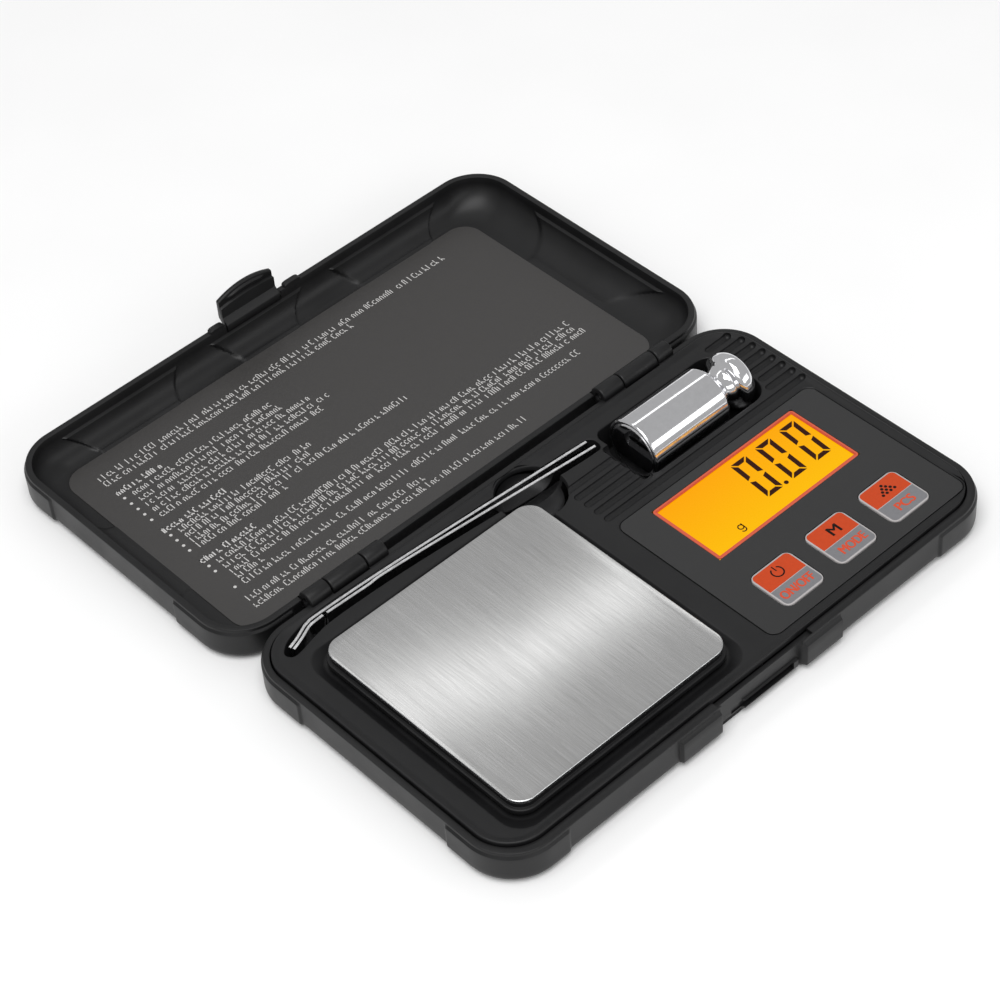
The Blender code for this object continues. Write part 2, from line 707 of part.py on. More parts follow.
weight_profile = [
    (WEIGHT_X0, WEIGHT_R - 0.4),
    (WEIGHT_X0 + 0.4, WEIGHT_R),
    (53.2, WEIGHT_R),
    (53.6, WEIGHT_R - 0.4),
    (54.6, 5.6),
    (56.2, 4.6),
    (58.2, 4.3),
    (60.0, 4.8),
    (61.3, 6.2),
    (61.9, 6.9),
    (62.5, 7.15),
    (63.4, 7.1),
    (64.4, 6.3),
    (65.0, 4.6),
    (65.3, 2.2),
]
weight = lathe_x("calibration_weight", weight_profile, WEIGHT_Y, WEIGHT_Z, scale_parts, 40)
finish(weight, material("weight_chrome", (0.85, 0.85, 0.87), 0.1, 1.0))


# Tweezers ----------------------------------------------------------------------


def strip(name, path, thickness, z0, z1):
    """A flat strip standing on edge along a path."""
    half = thickness / 2
    left = []
    right = []
    for i, here in enumerate(path):
        before = Vector(path[max(i - 1, 0)])
        after = Vector(path[min(i + 1, len(path) - 1)])
        along = (after - before).normalized()
        across = Vector((-along.y, along.x))
        left.append((here[0] + across.x * half, here[1] + across.y * half))
        right.append((here[0] - across.x * half, here[1] - across.y * half))
    outline = right + list(reversed(left))
    return loft(name, [(outline, z0), (outline, z1)], scale_parts)


LEAF_BACK_PATH = [
    (-69.2, -8.7),
    (-66.8, -7.9),
    (-64.9, -7.1),
    (-63.0, -6.2),
    (-61.3, -5.7),
    (-57.7, -5.5),
    (-33.9, -6.25),
    (22.2, -9.65),
]
LEAF_FRONT_PATH = [(-56.5, -6.6), (-45.0, -6.95), PIVOT, (22.7, -12.2)]
leaf_back = strip("tweezer_leaf_back", LEAF_BACK_PATH, TWEEZER_T, *TWEEZER_Z)
finish(leaf_back, material("leaf_steel_back", (0.85, 0.85, 0.86), 0.15, 1.0))
leaf_front = strip("tweezer_leaf_front", LEAF_FRONT_PATH, TWEEZER_T, *TWEEZER_Z)
finish(leaf_front, material("leaf_steel_front", (0.85, 0.85, 0.86), 0.15, 1.0), (PIVOT[0], PIVOT[1], 0.0))


# Lid label and latch -------------------------------------------------------------

label = loft(
    "lid_label",
    [
        (rounded_rect(*LABEL_BOX, LABEL_R), LID_FLOOR + 0.03),
        (rounded_rect(*LABEL_BOX, LABEL_R), LID_FLOOR + 0.15),
    ],
    scale_parts,
)
finish(label, material("label_dark_grey", (0.06, 0.06, 0.062), 0.45))


def latch_solid():
    """The tab's YZ profile drawn along X, then its arched top cut."""
    profile = [
        (86.75, 7.2),
        (88.6, 7.2),
        (88.9, 8.4),
        (OVERALL_Y, 9.9),
        (OVERALL_Y, LATCH_TOP),
        (89.0, 17.3),
        (88.35, 16.6),
        (87.95, 16.1),
        (87.95, 15.4),
        (88.35, 15.0),
        (88.35, 10.6),
        (87.0, 9.3),
        (86.75, 8.8),
    ]
    mesh = bpy.data.meshes.new("lid_latch")
    bm = bmesh.new()
    low = [bm.verts.new((LATCH_X[0] * MM, y * MM, z * MM)) for y, z in profile]
    high = [bm.verts.new((LATCH_X[1] * MM, y * MM, z * MM)) for y, z in profile]
    count = len(profile)
    for i in range(count):
        j = (i + 1) % count
        bm.faces.new((low[i], low[j], high[j], high[i]))
    bm.faces.new(list(reversed(low)))
    bm.faces.new(high)
    bmesh.ops.recalc_face_normals(bm, faces=bm.faces)
    bm.to_mesh(mesh)
    bm.free()
    return link("lid_latch", mesh, scale_parts)


latch = latch_solid()
arch = []
for i in range(9):
    t = -1.0 + 2.0 * i / 8
    arch.append((-1.1 + 9.2 * t, LATCH_TOP + 0.02 - LATCH_ARCH * t * t))
trim = [(-12.0, 22.0), (-12.0, 15.2)] + arch + [(10.0, 15.2), (10.0, 22.0)]
mesh = bpy.data.meshes.new("trim")
bm = bmesh.new()
near = [bm.verts.new((x * MM, 84.0 * MM, z * MM)) for x, z in trim]
far = [bm.verts.new((x * MM, 93.0 * MM, z * MM)) for x, z in trim]
for i in range(len(trim)):
    j = (i + 1) % len(trim)
    bm.faces.new((near[i], near[j], far[j], far[i]))
bm.faces.new(list(reversed(near)))
bm.faces.new(far)
bmesh.ops.recalc_face_normals(bm, faces=bm.faces)
bm.to_mesh(mesh)
bm.free()
cut(latch, link("trim", mesh, cutter_parts))
finish(latch, latch_black, LATCH_PIVOT)

finish(base_shell, black)
finish(lid_shell, lid_black, (0.0, 0.0, RIM_Z))
finish(top_deck, deck_black)
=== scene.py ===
"""Looks of the pocket gram scale: moulded shells, brushed and chromed steel, a lit display, label and keys.
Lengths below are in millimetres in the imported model's frame, and MM turns them into metres."""

import math
import random

import bmesh
import bpy
from mathutils import Matrix, Vector


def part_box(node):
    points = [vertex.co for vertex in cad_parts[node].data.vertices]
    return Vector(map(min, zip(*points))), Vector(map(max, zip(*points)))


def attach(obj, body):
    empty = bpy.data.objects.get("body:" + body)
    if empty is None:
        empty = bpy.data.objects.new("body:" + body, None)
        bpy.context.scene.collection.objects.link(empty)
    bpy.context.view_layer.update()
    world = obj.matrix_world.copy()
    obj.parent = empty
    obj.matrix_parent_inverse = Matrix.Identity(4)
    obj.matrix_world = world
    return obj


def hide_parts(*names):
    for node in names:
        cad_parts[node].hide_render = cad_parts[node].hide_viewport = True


MM = 0.001

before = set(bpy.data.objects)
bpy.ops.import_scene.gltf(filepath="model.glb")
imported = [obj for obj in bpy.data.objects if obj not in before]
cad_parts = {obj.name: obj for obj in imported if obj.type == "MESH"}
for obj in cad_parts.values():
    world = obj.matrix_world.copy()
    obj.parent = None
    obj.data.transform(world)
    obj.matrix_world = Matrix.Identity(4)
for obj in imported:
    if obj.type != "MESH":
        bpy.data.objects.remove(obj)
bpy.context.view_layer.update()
random.seed(7)


def node_box(name):
    """(x0, x1, y0, y1, z0, z1) of a CAD node in millimetres."""
    low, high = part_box(name)
    return tuple(v / MM for v in (low.x, high.x, low.y, high.y, low.z, high.z))


# Driving dimensions, read from the frame where a node holds them ------------

BUMPER_PROUD = 0.5
SHELL = node_box("base_shell")
HALF_X = SHELL[1] - BUMPER_PROUD
RIM_Z = 9.4
CORNER_R = 12.1
WALL = 1.65
BASE_BACK = -1.2
BASE_FRONT = -89.1
LID_NEAR = 1.2
LID_FAR = 88.6
BASE_FRAME = (-HALF_X, HALF_X, BASE_FRONT, BASE_BACK)
BASE_INNER = (-HALF_X, HALF_X, -88.6, BASE_BACK)
LID_FRAME = (-HALF_X, HALF_X, LID_NEAR, LID_FAR)
BASE_FLOOR = 1.1
LID_FLOOR = 0.9
# How far the lid's curved inner wall reaches in at the floor: left, right, hinge side, latch side
LID_CURVE = (6.9, 10.6, 5.6, 6.0)
LID_CURVE_TOP = 7.9

DECK_TOP = 9.55
OVERLAY_R = 2.6
KEY_R = 2.0
DECK_CREST = 10.1
DECK_UNDER = 8.35
WELL_FLOOR = 7.6
RECESS_FLOOR = 9.15

PLATE = node_box("weighing_plate")
CARRIER = node_box("platform_carrier")
OVERLAY = node_box("control_overlay")
BEZEL = node_box("lcd_bezel")
GLASS = node_box("lcd_glass")
WEIGHT = node_box("calibration_weight")
LABEL = node_box("lid_label")
LATCH = node_box("lid_latch")
COVER = node_box("battery_cover")
KEY_NAMES = ("power", "mode", "count")

# Where the walls run straight between the corner bumpers: along X, and along Y on base and lid
END_STRAIGHT = (-59.8, 57.1)
BASE_STRAIGHT = (-69.0, -22.0)
LID_STRAIGHT = (23.7, 70.0)

# Each hinge's barrel along X: start, first split, second split, end
HINGES = ((-57.3, -51.0, -40.2, -34.0), (35.6, 42.5, 54.0, 59.2))
BARREL_R = 2.5
BARREL_CLEAR = 2.8
BARREL_SPLIT = 0.15
BARREL_END_ROOM = 0.2
PIN_HOLE_R = 1.08

# Openings in the deck: the boxes of the platform well and the weight's pocket, the scoop's middle and radius
WELL = (-69.6, 1.4, -84.0, -12.6)
WELL_R = 6.0
POCKET = (25.6, 65.9, -28.6, -8.6)
SCOOP = (1.9, -12.1, 9.0)
PLATE_R = 4.4
# The tweezer channel's outline, counter-clockwise
CHANNEL = (
    *((-69.9, -11.4), (-63.0, -9.6), (-57.0, -8.5), (-33.5, -9.0), (22.6, -13.8), (24.4, -12.4)),
    *((24.4, -9.4), (22.3, -8.2), (-33.0, -5.0), (-60.0, -4.3), (-67.8, -6.0), (-71.4, -8.8)),
)
GROOVE_W = 2.1
GROOVE_DEPTH = 0.98
# Grooves in the deck: (centre y, start x, end x)
GROOVES = (
    (-17.9, 7.4, 26.0),
    (-21.2, 7.4, 26.0),
    (-24.5, 7.4, 26.0),
    (-27.8, 7.4, 26.0),
    (-31.1, 7.4, 75.0),
    (-7.9, 64.8, 73.3),
    (-11.3, 66.4, 74.7),
    (-14.6, 66.4, 75.0),
    (-17.9, 66.4, 75.0),
    (-21.2, 66.4, 75.0),
    (-24.5, 66.2, 75.0),
    (-27.8, 65.2, 75.0),
)
# The middle lines of the leaves. The back one starts with the bend that both share.
TWEEZER_BEND = ((-69.2, -8.7), (-66.8, -7.9), (-64.9, -7.1), (-63.0, -6.2), (-61.3, -5.7), (-57.7, -5.5))
TWEEZER_BACK = (*TWEEZER_BEND, (-33.9, -6.25), (22.2, -9.65))
TWEEZER_FRONT = ((-56.5, -6.6), (-45.0, -6.95), (-33.9, -7.25), (22.7, -12.2))
TWEEZER_Z = (4.2, 10.4)
TWEEZER_HALF_T = 0.35
TWEEZER_EASE = 0.12
TWEEZER_PITCH = 1.05


# Mesh helpers ------------


def smoothstep(low, high, value):
    t = min(max((value - low) / (high - low), 0.0), 1.0)
    return t * t * (3.0 - 2.0 * t)


def band(value, start, end, soft):
    """1 between start and end, fading to 0 over soft outside each of them."""
    return smoothstep(start - soft, start, value) * (1.0 - smoothstep(end, end + soft, value))


def rounded_rect(x0, x1, y0, y1, r, steps=12):
    """Corner points of a rounded rectangle, counter-clockwise."""
    points = []
    corners = ((x1 - r, y0 + r, -90), (x1 - r, y1 - r, 0), (x0 + r, y1 - r, 90), (x0 + r, y0 + r, 180))
    for cx, cy, start in corners:
        for i in range(steps + 1):
            angle = math.radians(start + 90.0 * i / steps)
            points.append((cx + r * math.cos(angle), cy + r * math.sin(angle)))
    return points


def grown_rect(box_2d, grow, r, steps=12):
    """The rounded rectangle of a box (x0, x1, y0, y1), moved out by grow with its corners' centres kept."""
    x0, x1, y0, y1 = box_2d
    return rounded_rect(x0 - grow, x1 + grow, y0 - grow, y1 + grow, max(r + grow, 0.05), steps)


def disc(x, y, r, steps=48):
    turn = 2 * math.pi / steps
    return [(x + r * math.cos(turn * i), y + r * math.sin(turn * i)) for i in range(steps)]


def box_middle(name):
    """The middle of a CAD node, seen from above."""
    x0, x1, y0, y1 = node_box(name)[:4]
    return (x0 + x1) / 2, (y0 + y1) / 2


def offset_outline(points, distance):
    """A counter-clockwise outline moved out by distance, with mitred corners."""
    result = []
    count = len(points)
    for i in range(count):
        before = Vector(points[i - 1])
        here = Vector(points[i])
        after = Vector(points[(i + 1) % count])
        first = (here - before).normalized()
        second = (after - here).normalized()
        normal_a = Vector((first.y, -first.x))
        normal_b = Vector((second.y, -second.x))
        middle = (normal_a + normal_b).normalized()
        reach = distance / max(middle.dot(normal_a), 0.4)
        result.append((here.x + middle.x * reach, here.y + middle.y * reach))
    return result


def soften_outline(points, rounds=2, share=0.2):
    """Cuts the corners of an outline a few times, so that it turns in curves."""
    for _ in range(rounds):
        softer = []
        for i, point in enumerate(points):
            here = Vector(point)
            after = Vector(points[(i + 1) % len(points)])
            softer.append(tuple(here.lerp(after, share)))
            softer.append(tuple(here.lerp(after, 1.0 - share)))
        points = softer
    return points


def new_object(name, bm):
    mesh = bpy.data.meshes.new(name)
    bmesh.ops.recalc_face_normals(bm, faces=bm.faces)
    bm.to_mesh(mesh)
    bm.free()
    obj = bpy.data.objects.new(name, mesh)
    bpy.context.scene.collection.objects.link(obj)
    return obj


def rings_mesh(name, rings, closed_loop=False):
    """A solid through rings of 3-D points. The ends are capped, or the last ring joins the first."""
    bm = bmesh.new()
    levels = [[bm.verts.new((x * MM, y * MM, z * MM)) for x, y, z in ring] for ring in rings]
    pairs = list(zip(levels, levels[1:]))
    if closed_loop:
        pairs.append((levels[-1], levels[0]))
    count = len(levels[0])
    for low, high in pairs:
        for i in range(count):
            j = (i + 1) % count
            bm.faces.new((low[i], low[j], high[j], high[i]))
    if not closed_loop:
        bm.faces.new(list(reversed(levels[0])))
        bm.faces.new(levels[-1])
    return new_object(name, bm)


def loft(name, levels, closed_loop=False):
    """A solid through flat outlines, each given as (outline, z)."""
    return rings_mesh(name, [[(x, y, z) for x, y in outline] for outline, z in levels], closed_loop)


def prism(name, outline, z0, z1):
    return loft(name, [(outline, z0), (outline, z1)])


def rect_loft(name, box_2d, r, steps, levels):
    """A solid through rounded rectangles, given as (how far each is grown, z)."""
    return loft(name, [(grown_rect(box_2d, grow, r, steps), z) for grow, z in levels])


def box(name, x, y, z):
    return prism(name, [(x[0], y[0]), (x[1], y[0]), (x[1], y[1]), (x[0], y[1])], *z)


def lathe_x(name, profile, y, z, steps=64):
    """A solid turned about a line along X, from (x, radius) pairs, with both ends capped."""
    turn = 2 * math.pi / steps
    rings = []
    for x, r in profile:
        rings.append([(x, y + r * math.cos(turn * i), z + r * math.sin(turn * i)) for i in range(steps)])
    return rings_mesh(name, rings)


def evaluated_mesh(obj):
    """A new mesh of the object with its modifiers applied, or of a text object."""
    bpy.context.view_layer.update()
    graph = bpy.context.evaluated_depsgraph_get()
    return bpy.data.meshes.new_from_object(obj.evaluated_get(graph))


def apply_modifier(obj, modifier):
    mesh = evaluated_mesh(obj)
    obj.modifiers.remove(modifier)
    old = obj.data
    obj.data = mesh
    bpy.data.meshes.remove(old)


def combine(target, other, operation):
    """Applies one exact Boolean, clears what it leaves behind, and removes the other solid."""
    modifier = target.modifiers.new("cut", "BOOLEAN")
    modifier.operation = operation
    modifier.solver = "EXACT"
    modifier.object = other
    apply_modifier(target, modifier)
    bm = bmesh.new()
    bm.from_mesh(target.data)
    bmesh.ops.remove_doubles(bm, verts=bm.verts, dist=0.000003)
    bmesh.ops.dissolve_degenerate(bm, edges=bm.edges, dist=0.000001)
    bm.to_mesh(target.data)
    bm.free()
    bpy.data.objects.remove(other, do_unlink=True)


def cut(target, other):
    combine(target, other, "DIFFERENCE")


def add(target, other):
    combine(target, other, "UNION")


def shade(obj, degrees=32.0):
    obj.data.shade_smooth()
    obj.data.set_sharp_from_angle(angle=math.radians(degrees))


def soft_edges(obj, width, segments=3, degrees=40.0):
    """A small rounding on every edge sharper than the given angle, applied at once."""
    modifier = obj.modifiers.new("soft", "BEVEL")
    modifier.width = width * MM
    modifier.segments = segments
    modifier.limit_method = "ANGLE"
    modifier.angle_limit = math.radians(degrees)
    modifier.use_clamp_overlap = True
    apply_modifier(obj, modifier)


def place(obj, body, mat, replaces=(), degrees=32.0):
    """Gives a finished piece its shading, material and body, and hides the CAD nodes it stands for."""
    shade(obj, degrees)
    obj.data.materials.clear()
    obj.data.materials.append(mat)
    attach(obj, body)
    if replaces:
        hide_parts(*replaces)


# Materials ------------


class Nodes:
    """A short way to write a material's node tree."""

    def __init__(self, name):
        self.mat = bpy.data.materials.new(name)
        self.mat.use_nodes = True
        self.tree = self.mat.node_tree
        self.shader = self.tree.nodes["Principled BSDF"]

    def add(self, kind, inputs=None, **settings):
        node = self.tree.nodes.new(kind)
        for key, value in settings.items():
            setattr(node, key, value)
        for key, value in (inputs or {}).items():
            if isinstance(value, bpy.types.NodeSocket):
                self.tree.links.new(value, node.inputs[key])
            else:
                node.inputs[key].default_value = value
        return node

    def set(self, **values):
        for key, value in values.items():
            socket = self.shader.inputs[key.replace("_", " ")]
            if isinstance(value, bpy.types.NodeSocket):
                self.tree.links.new(value, socket)
            else:
                socket.default_value = value

    def coords(self, scale=(1.0, 1.0, 1.0)):
        """Object coordinates in millimetres, stretched by scale."""
        source = self.add("ShaderNodeTexCoord")
        inputs = {"Vector": source.outputs["Object"], "Scale": tuple(s / MM for s in scale)}
        mapping = self.add("ShaderNodeMapping", inputs)
        return mapping.outputs["Vector"]

    def noise(self, vector, scale, detail=2.0, rough=0.5):
        inputs = {"Vector": vector, "Scale": scale, "Detail": detail, "Roughness": rough}
        return self.add("ShaderNodeTexNoise", inputs).outputs["Fac"]

    def spread(self, value, low, high, from_low=0.3, from_high=0.7):
        inputs = {"Value": value, "From Min": from_low, "From Max": from_high, "To Min": low, "To Max": high}
        return self.add("ShaderNodeMapRange", inputs).outputs["Result"]

    def mix(self, factor, first, second):
        node = self.add("ShaderNodeMix", data_type="RGBA")
        node.inputs[6].default_value = (*first, 1.0)
        node.inputs[7].default_value = (*second, 1.0)
        self.tree.links.new(factor, node.inputs["Factor"])
        return node.outputs[2]

    def bump(self, height, strength, distance):
        inputs = {"Height": height, "Strength": strength, "Distance": distance * MM}
        return self.add("ShaderNodeBump", inputs).outputs["Normal"]


def moulded_plastic(name, dark, light, rough_low, rough_high, grain=0.25, specular=0.5):
    """Spark-eroded moulding: fine grain in the height, slow patches in colour and gloss."""
    m = Nodes(name)
    where = m.coords()
    fine = m.noise(where, 7.0, 3.0, 0.6)
    patches = m.noise(where, 0.09, 3.0)
    m.set(Base_Color=m.mix(m.spread(patches, 0.0, 1.0), dark, light))
    m.set(Roughness=m.spread(patches, rough_low, rough_high), Specular_IOR_Level=specular)
    m.set(Normal=m.bump(fine, grain, 0.03))
    return m.mat


def brushed_metal(name, color, along, rough, streak=0.35, aniso=0.6):
    """Brushed sheet: long fine scratches along one axis."""
    m = Nodes(name)
    across = {"X": (0.012, 1.0, 1.0), "Y": (1.0, 0.012, 1.0)}[along]
    lines = m.noise(m.coords(across), 7.0, 4.0, 0.75)
    broad = m.noise(m.coords(tuple(0.35 * s for s in across)), 1.2, 3.0, 0.6)
    darker = tuple(0.72 * c for c in color)
    m.set(Base_Color=m.mix(m.spread(lines, 0.0, 1.0), darker, color))
    m.set(Metallic=1.0, Roughness=m.spread(broad, rough * 0.92, rough * 1.12))
    m.set(Normal=m.bump(lines, streak, 0.01), Anisotropic=aniso)
    return m.mat


def polished_metal(name, color, rough):
    """Plated and polished: faint handling marks in gloss, almost no relief."""
    m = Nodes(name)
    where = m.coords()
    marks = m.noise(where, 0.6, 4.0, 0.65)
    fine = m.noise(m.coords((0.1, 1.0, 1.0)), 5.0, 2.0)
    m.set(Base_Color=m.mix(m.spread(marks, 0.0, 1.0), tuple(0.93 * c for c in color), color))
    m.set(Metallic=1.0, Roughness=m.spread(marks, rough * 0.7, rough * 1.5))
    m.set(Normal=m.bump(fine, 0.05, 0.004))
    return m.mat


def printed(name, color, rough, grain=0.08, specular=0.5):
    """Ink or film of one colour with a little mottling."""
    m = Nodes(name)
    where = m.coords()
    mottle = m.noise(where, 1.3, 3.0)
    m.set(Base_Color=m.mix(m.spread(mottle, 0.0, 1.0), tuple(0.92 * c for c in color), color))
    m.set(Roughness=m.spread(mottle, rough * 0.9, rough * 1.15), Specular_IOR_Level=specular)
    m.set(Normal=m.bump(m.noise(where, 5.0), grain, 0.01))
    return m.mat


def lit_panel(name, near, far, low_y, high_y, strength):
    """The display's lit film: its colour runs from the near edge to the far one, under a faint speckle."""
    m = Nodes(name)
    where = m.coords()
    split = m.add("ShaderNodeSeparateXYZ", {"Vector": where})
    along = m.spread(split.outputs["Y"], 0.0, 1.0, low_y, high_y)
    speckle = m.noise(where, 2.5, 2.0)
    color = m.mix(along, near, far)
    unlit = m.mix(speckle, tuple(0.02 * c for c in near), tuple(0.03 * c for c in near))
    m.set(Base_Color=unlit, Roughness=m.spread(speckle, 0.25, 0.35), Specular_IOR_Level=0.06)
    m.set(Emission_Color=color, Emission_Strength=strength)
    m.set(Normal=m.bump(speckle, 0.05, 0.01))
    return m.mat


# The blacks of the mouldings, each as the dark and the light of its patches
CASE_BLACK = ((0.006, 0.006, 0.0063), (0.009, 0.009, 0.0095))
DECK_BLACK = ((0.0065, 0.0065, 0.007), (0.0095, 0.0095, 0.01))
CARRIER_BLACK = ((0.005, 0.005, 0.0055), (0.008, 0.008, 0.0085))
COVER_BLACK = ((0.008, 0.008, 0.0085), (0.012, 0.012, 0.0125))
shell_black = moulded_plastic("shell_black", *CASE_BLACK, 0.36, 0.46, 0.22, 0.32)
lid_black = moulded_plastic("lid_black", *CASE_BLACK, 0.36, 0.46, 0.22, 0.32)
deck_black = moulded_plastic("deck_black", *DECK_BLACK, 0.4, 0.5, 0.2, 0.32)
latch_black = moulded_plastic("latch_black", *CASE_BLACK, 0.34, 0.44, 0.2, 0.32)
carrier_black = moulded_plastic("carrier_black", *CARRIER_BLACK, 0.42, 0.52, 0.2, 0.3)
cover_black = moulded_plastic("cover_black", *COVER_BLACK, 0.42, 0.52, 0.3)
overlay_film = printed("overlay_film", (0.0125, 0.0125, 0.0128), 0.33)
label_film = printed("label_film", (0.040, 0.038, 0.037), 0.34)
label_ink = printed("label_ink", (0.56, 0.55, 0.54), 0.5)
plate_steel = brushed_metal("plate_steel", (0.74, 0.74, 0.735), "Y", 0.21, 0.22, 0.0)
plate_edge = polished_metal("plate_edge", (0.85, 0.86, 0.87), 0.22)
chrome = polished_metal("chrome", (0.86, 0.86, 0.88), 0.07)
tweezer_steel = polished_metal("tweezer_steel", (0.84, 0.84, 0.85), 0.12)
pin_steel = brushed_metal("pin_steel", (0.5, 0.5, 0.52), "X", 0.3)
screw_steel = brushed_metal("screw_steel", (0.4, 0.4, 0.42), "X", 0.35)
cell_steel = brushed_metal("cell_steel", (0.7, 0.7, 0.71), "X", 0.25)
contact_brass = brushed_metal("contact_brass", (0.72, 0.6, 0.34), "X", 0.3)
beam_aluminium = brushed_metal("beam_aluminium", (0.72, 0.73, 0.75), "X", 0.38)
board_green = printed("board_green", (0.01, 0.09, 0.03), 0.4)
key_red = printed("key_red", (0.52, 0.055, 0.010), 0.38, 0.08, 0.2)
key_grey = printed("key_grey", (0.185, 0.185, 0.195), 0.42, 0.08, 0.3)
key_legend = printed("key_legend", (0.6, 0.075, 0.03), 0.42, 0.08, 0.2)
key_silver = printed("key_silver", (0.42, 0.4, 0.4), 0.32)
key_ink = printed("key_ink", (0.01, 0.006, 0.005), 0.45, 0.08, 0.1)
bezel_salmon = printed("bezel_salmon", (0.6, 0.1, 0.05), 0.4, 0.08, 0.3)
bezel_orange = printed("bezel_orange", (0.62, 0.07, 0.02), 0.35)
lcd_ink = printed("lcd_ink", (0.03, 0.006, 0.002), 0.4, 0.05, 0.1)
guide_white = printed("guide_white", (0.8, 0.76, 0.66), 0.5)


# Case halves ------------


def stations(frame_box, r, marks, spacing=1.9):
    """Steps round a rounded rectangle, as (part, number, value): an angle on a corner, or a share of the way
    along a side. A mark is (side, coordinate), where a feature starts or ends and the steps lie closer."""
    x0, x1, y0, y1 = frame_box
    ends = ((y0 + r, y1 - r), (x1 - r, x0 + r), (y1 - r, y0 + r), (x0 + r, x1 - r))
    steps = []
    for k, (start, end) in enumerate(ends):
        for i in range(25):
            steps.append(("corner", k, math.radians(90.0 * k - 90.0 + 90.0 * i / 24)))
        count = round(abs(end - start) / spacing)
        shares = {round(i / count, 5) for i in range(1, count)}
        for side, value in marks:
            if side == k:
                shares |= {round((value + 0.22 * n - start) / (end - start), 5) for n in range(-5, 6)}
        shares = sorted(share for share in shares if 0.001 < share < 0.999)
        kept = [share for i, share in enumerate(shares) if i == 0 or share - shares[i - 1] > 0.0005]
        steps += [("side", k, share) for share in kept]
    return steps


def around(box_2d, r, steps):
    """The points and outward normals of a rounded rectangle at the given steps: (x, y, nx, ny)."""
    x0, x1, y0, y1 = box_2d
    centres = ((x1 - r, y0 + r), (x1 - r, y1 - r), (x0 + r, y1 - r), (x0 + r, y0 + r))
    normals = ((1.0, 0.0), (0.0, 1.0), (-1.0, 0.0), (0.0, -1.0))
    points = []
    for part, k, value in steps:
        cx, cy = centres[k]
        if part == "corner":
            nx, ny = math.cos(value), math.sin(value)
            points.append((cx + r * nx, cy + r * ny, nx, ny))
        else:
            nx, ny = normals[k]
            ex, ey = centres[(k + 1) % 4]
            points.append((cx + (ex - cx) * value + r * nx, cy + (ey - cy) * value + r * ny, nx, ny))
    return points


RIGHT, BACK, LEFT, FRONT = range(4)

# The rims stop just short of the joint plane, so that a closed lid does not touch
RIM_TOP = RIM_Z - 0.05

# The outside of a case half, from the bottom to the rim: (inset, z)
OUTER_PROFILE = (
    *((2.4, 0.0), (1.9, 0.0), (1.5, 0.06), (1.1, 0.22), (0.75, 0.46), (0.45, 0.8), (0.22, 1.2), (0.08, 1.65)),
    *((0.0, z) for z in (2.2, 3.2, 3.95, 4.1, 4.25, 5.6, 6.8, 7.6, 7.9, 8.2, 8.5, 8.8, 9.1)),
    *((0.03, 9.2), (0.1, 9.3), (0.22, RIM_TOP)),
)
RIM_ROUND = ((WALL - 0.16, RIM_TOP), (WALL - 0.05, RIM_TOP - 0.06), (WALL, RIM_TOP - 0.2))


def bumper_share(x, y, nx, ny, side_straight):
    """1 on the corner bumpers, 0 on the straight walls between them."""
    if abs(nx) > 0.999:
        return 1.0 - band(y, *side_straight, 0.9)
    if abs(ny) > 0.999:
        return 1.0 - band(x, *END_STRAIGHT, 0.9)
    return 1.0


def outer_rings(frame_box, side_straight, steps, front_shape=None):
    """The outside of a case half: a rounded bottom edge, proud corner bumpers, and the rim's outer edge."""
    rings = []
    samples = around(frame_box, CORNER_R, steps)
    for inset, z in OUTER_PROFILE:
        ring = []
        envelope = smoothstep(0.2, 1.6, z) * (1.0 - smoothstep(7.8, 8.6, z))
        lift = 0.75 * (1.0 - smoothstep(0.0, 2.4, z)) * (1.0 if inset < 1.45 else 0.0)
        for x, y, nx, ny in samples:
            share = bumper_share(x, y, nx, ny, side_straight)
            here = inset - BUMPER_PROUD * share * envelope
            height = z + lift * (1.0 - share)
            if front_shape:
                here = front_shape(x, ny, here, height)
            ring.append((x - nx * here, y - ny * here, height))
        rings.append(ring)
    return rings


PADS = ((-27.3, -14.5), (11.7, 24.2))
PAD_PROUD = 1.05
RECESS = (-14.5, 11.7)
RECESS_DEPTH = 1.0
CATCH = (-6.8, 10.8)
CATCH_TOP = 4.3


def base_front(x, ny, inset, z):
    """The front wall's two pads and the latch recess with its catch block, as moves of the wall."""
    if ny > -0.999 or abs(x) > 40.0 or inset > 1.2:
        return inset
    up = smoothstep(0.3, 1.6, z) * (1.0 - smoothstep(7.3, 8.5, z))
    for start, end in PADS:
        inset -= PAD_PROUD * band(x, start + 0.5, end - 0.5, 0.5) * up
    share = band(x, RECESS[0] + 0.6, RECESS[1] - 0.4, 0.4)
    catch = band(x, CATCH[0] + 0.3, CATCH[1] - 0.3, 0.3) * (1.0 - smoothstep(CATCH_TOP - 0.3, CATCH_TOP, z))
    return inset + share * smoothstep(0.4, 1.2, z) * RECESS_DEPTH * (1.0 - 0.8 * catch)


def inset_rings(samples, profile):
    """One ring for each (inset, z) of a profile."""
    return [[(x - nx * inset, y - ny * inset, z) for x, y, nx, ny in samples] for inset, z in profile]


# Where the base's wall turns into its floor: (inset past the wall, height over the floor)
FLOOR_ROUND = ((0.02, 2.2), (0.2, 1.2), (0.7, 0.45), (1.4, 0.08), (2.2, 0.0))


def base_skin():
    marks = [(FRONT, x) for pair in (*PADS, RECESS, CATCH, END_STRAIGHT) for x in pair]
    marks += [(BACK, x) for x in END_STRAIGHT]
    marks += [(side, y) for side in (LEFT, RIGHT) for y in BASE_STRAIGHT]
    steps = stations(BASE_FRAME, CORNER_R, marks)
    inner = RIM_ROUND + tuple((WALL + past, BASE_FLOOR + up) for past, up in FLOOR_ROUND)
    rings = outer_rings(BASE_FRAME, BASE_STRAIGHT, steps, base_front)
    rings += inset_rings(around(BASE_INNER, CORNER_R, steps), inner)
    return rings_mesh("base_shell_skin", rings)


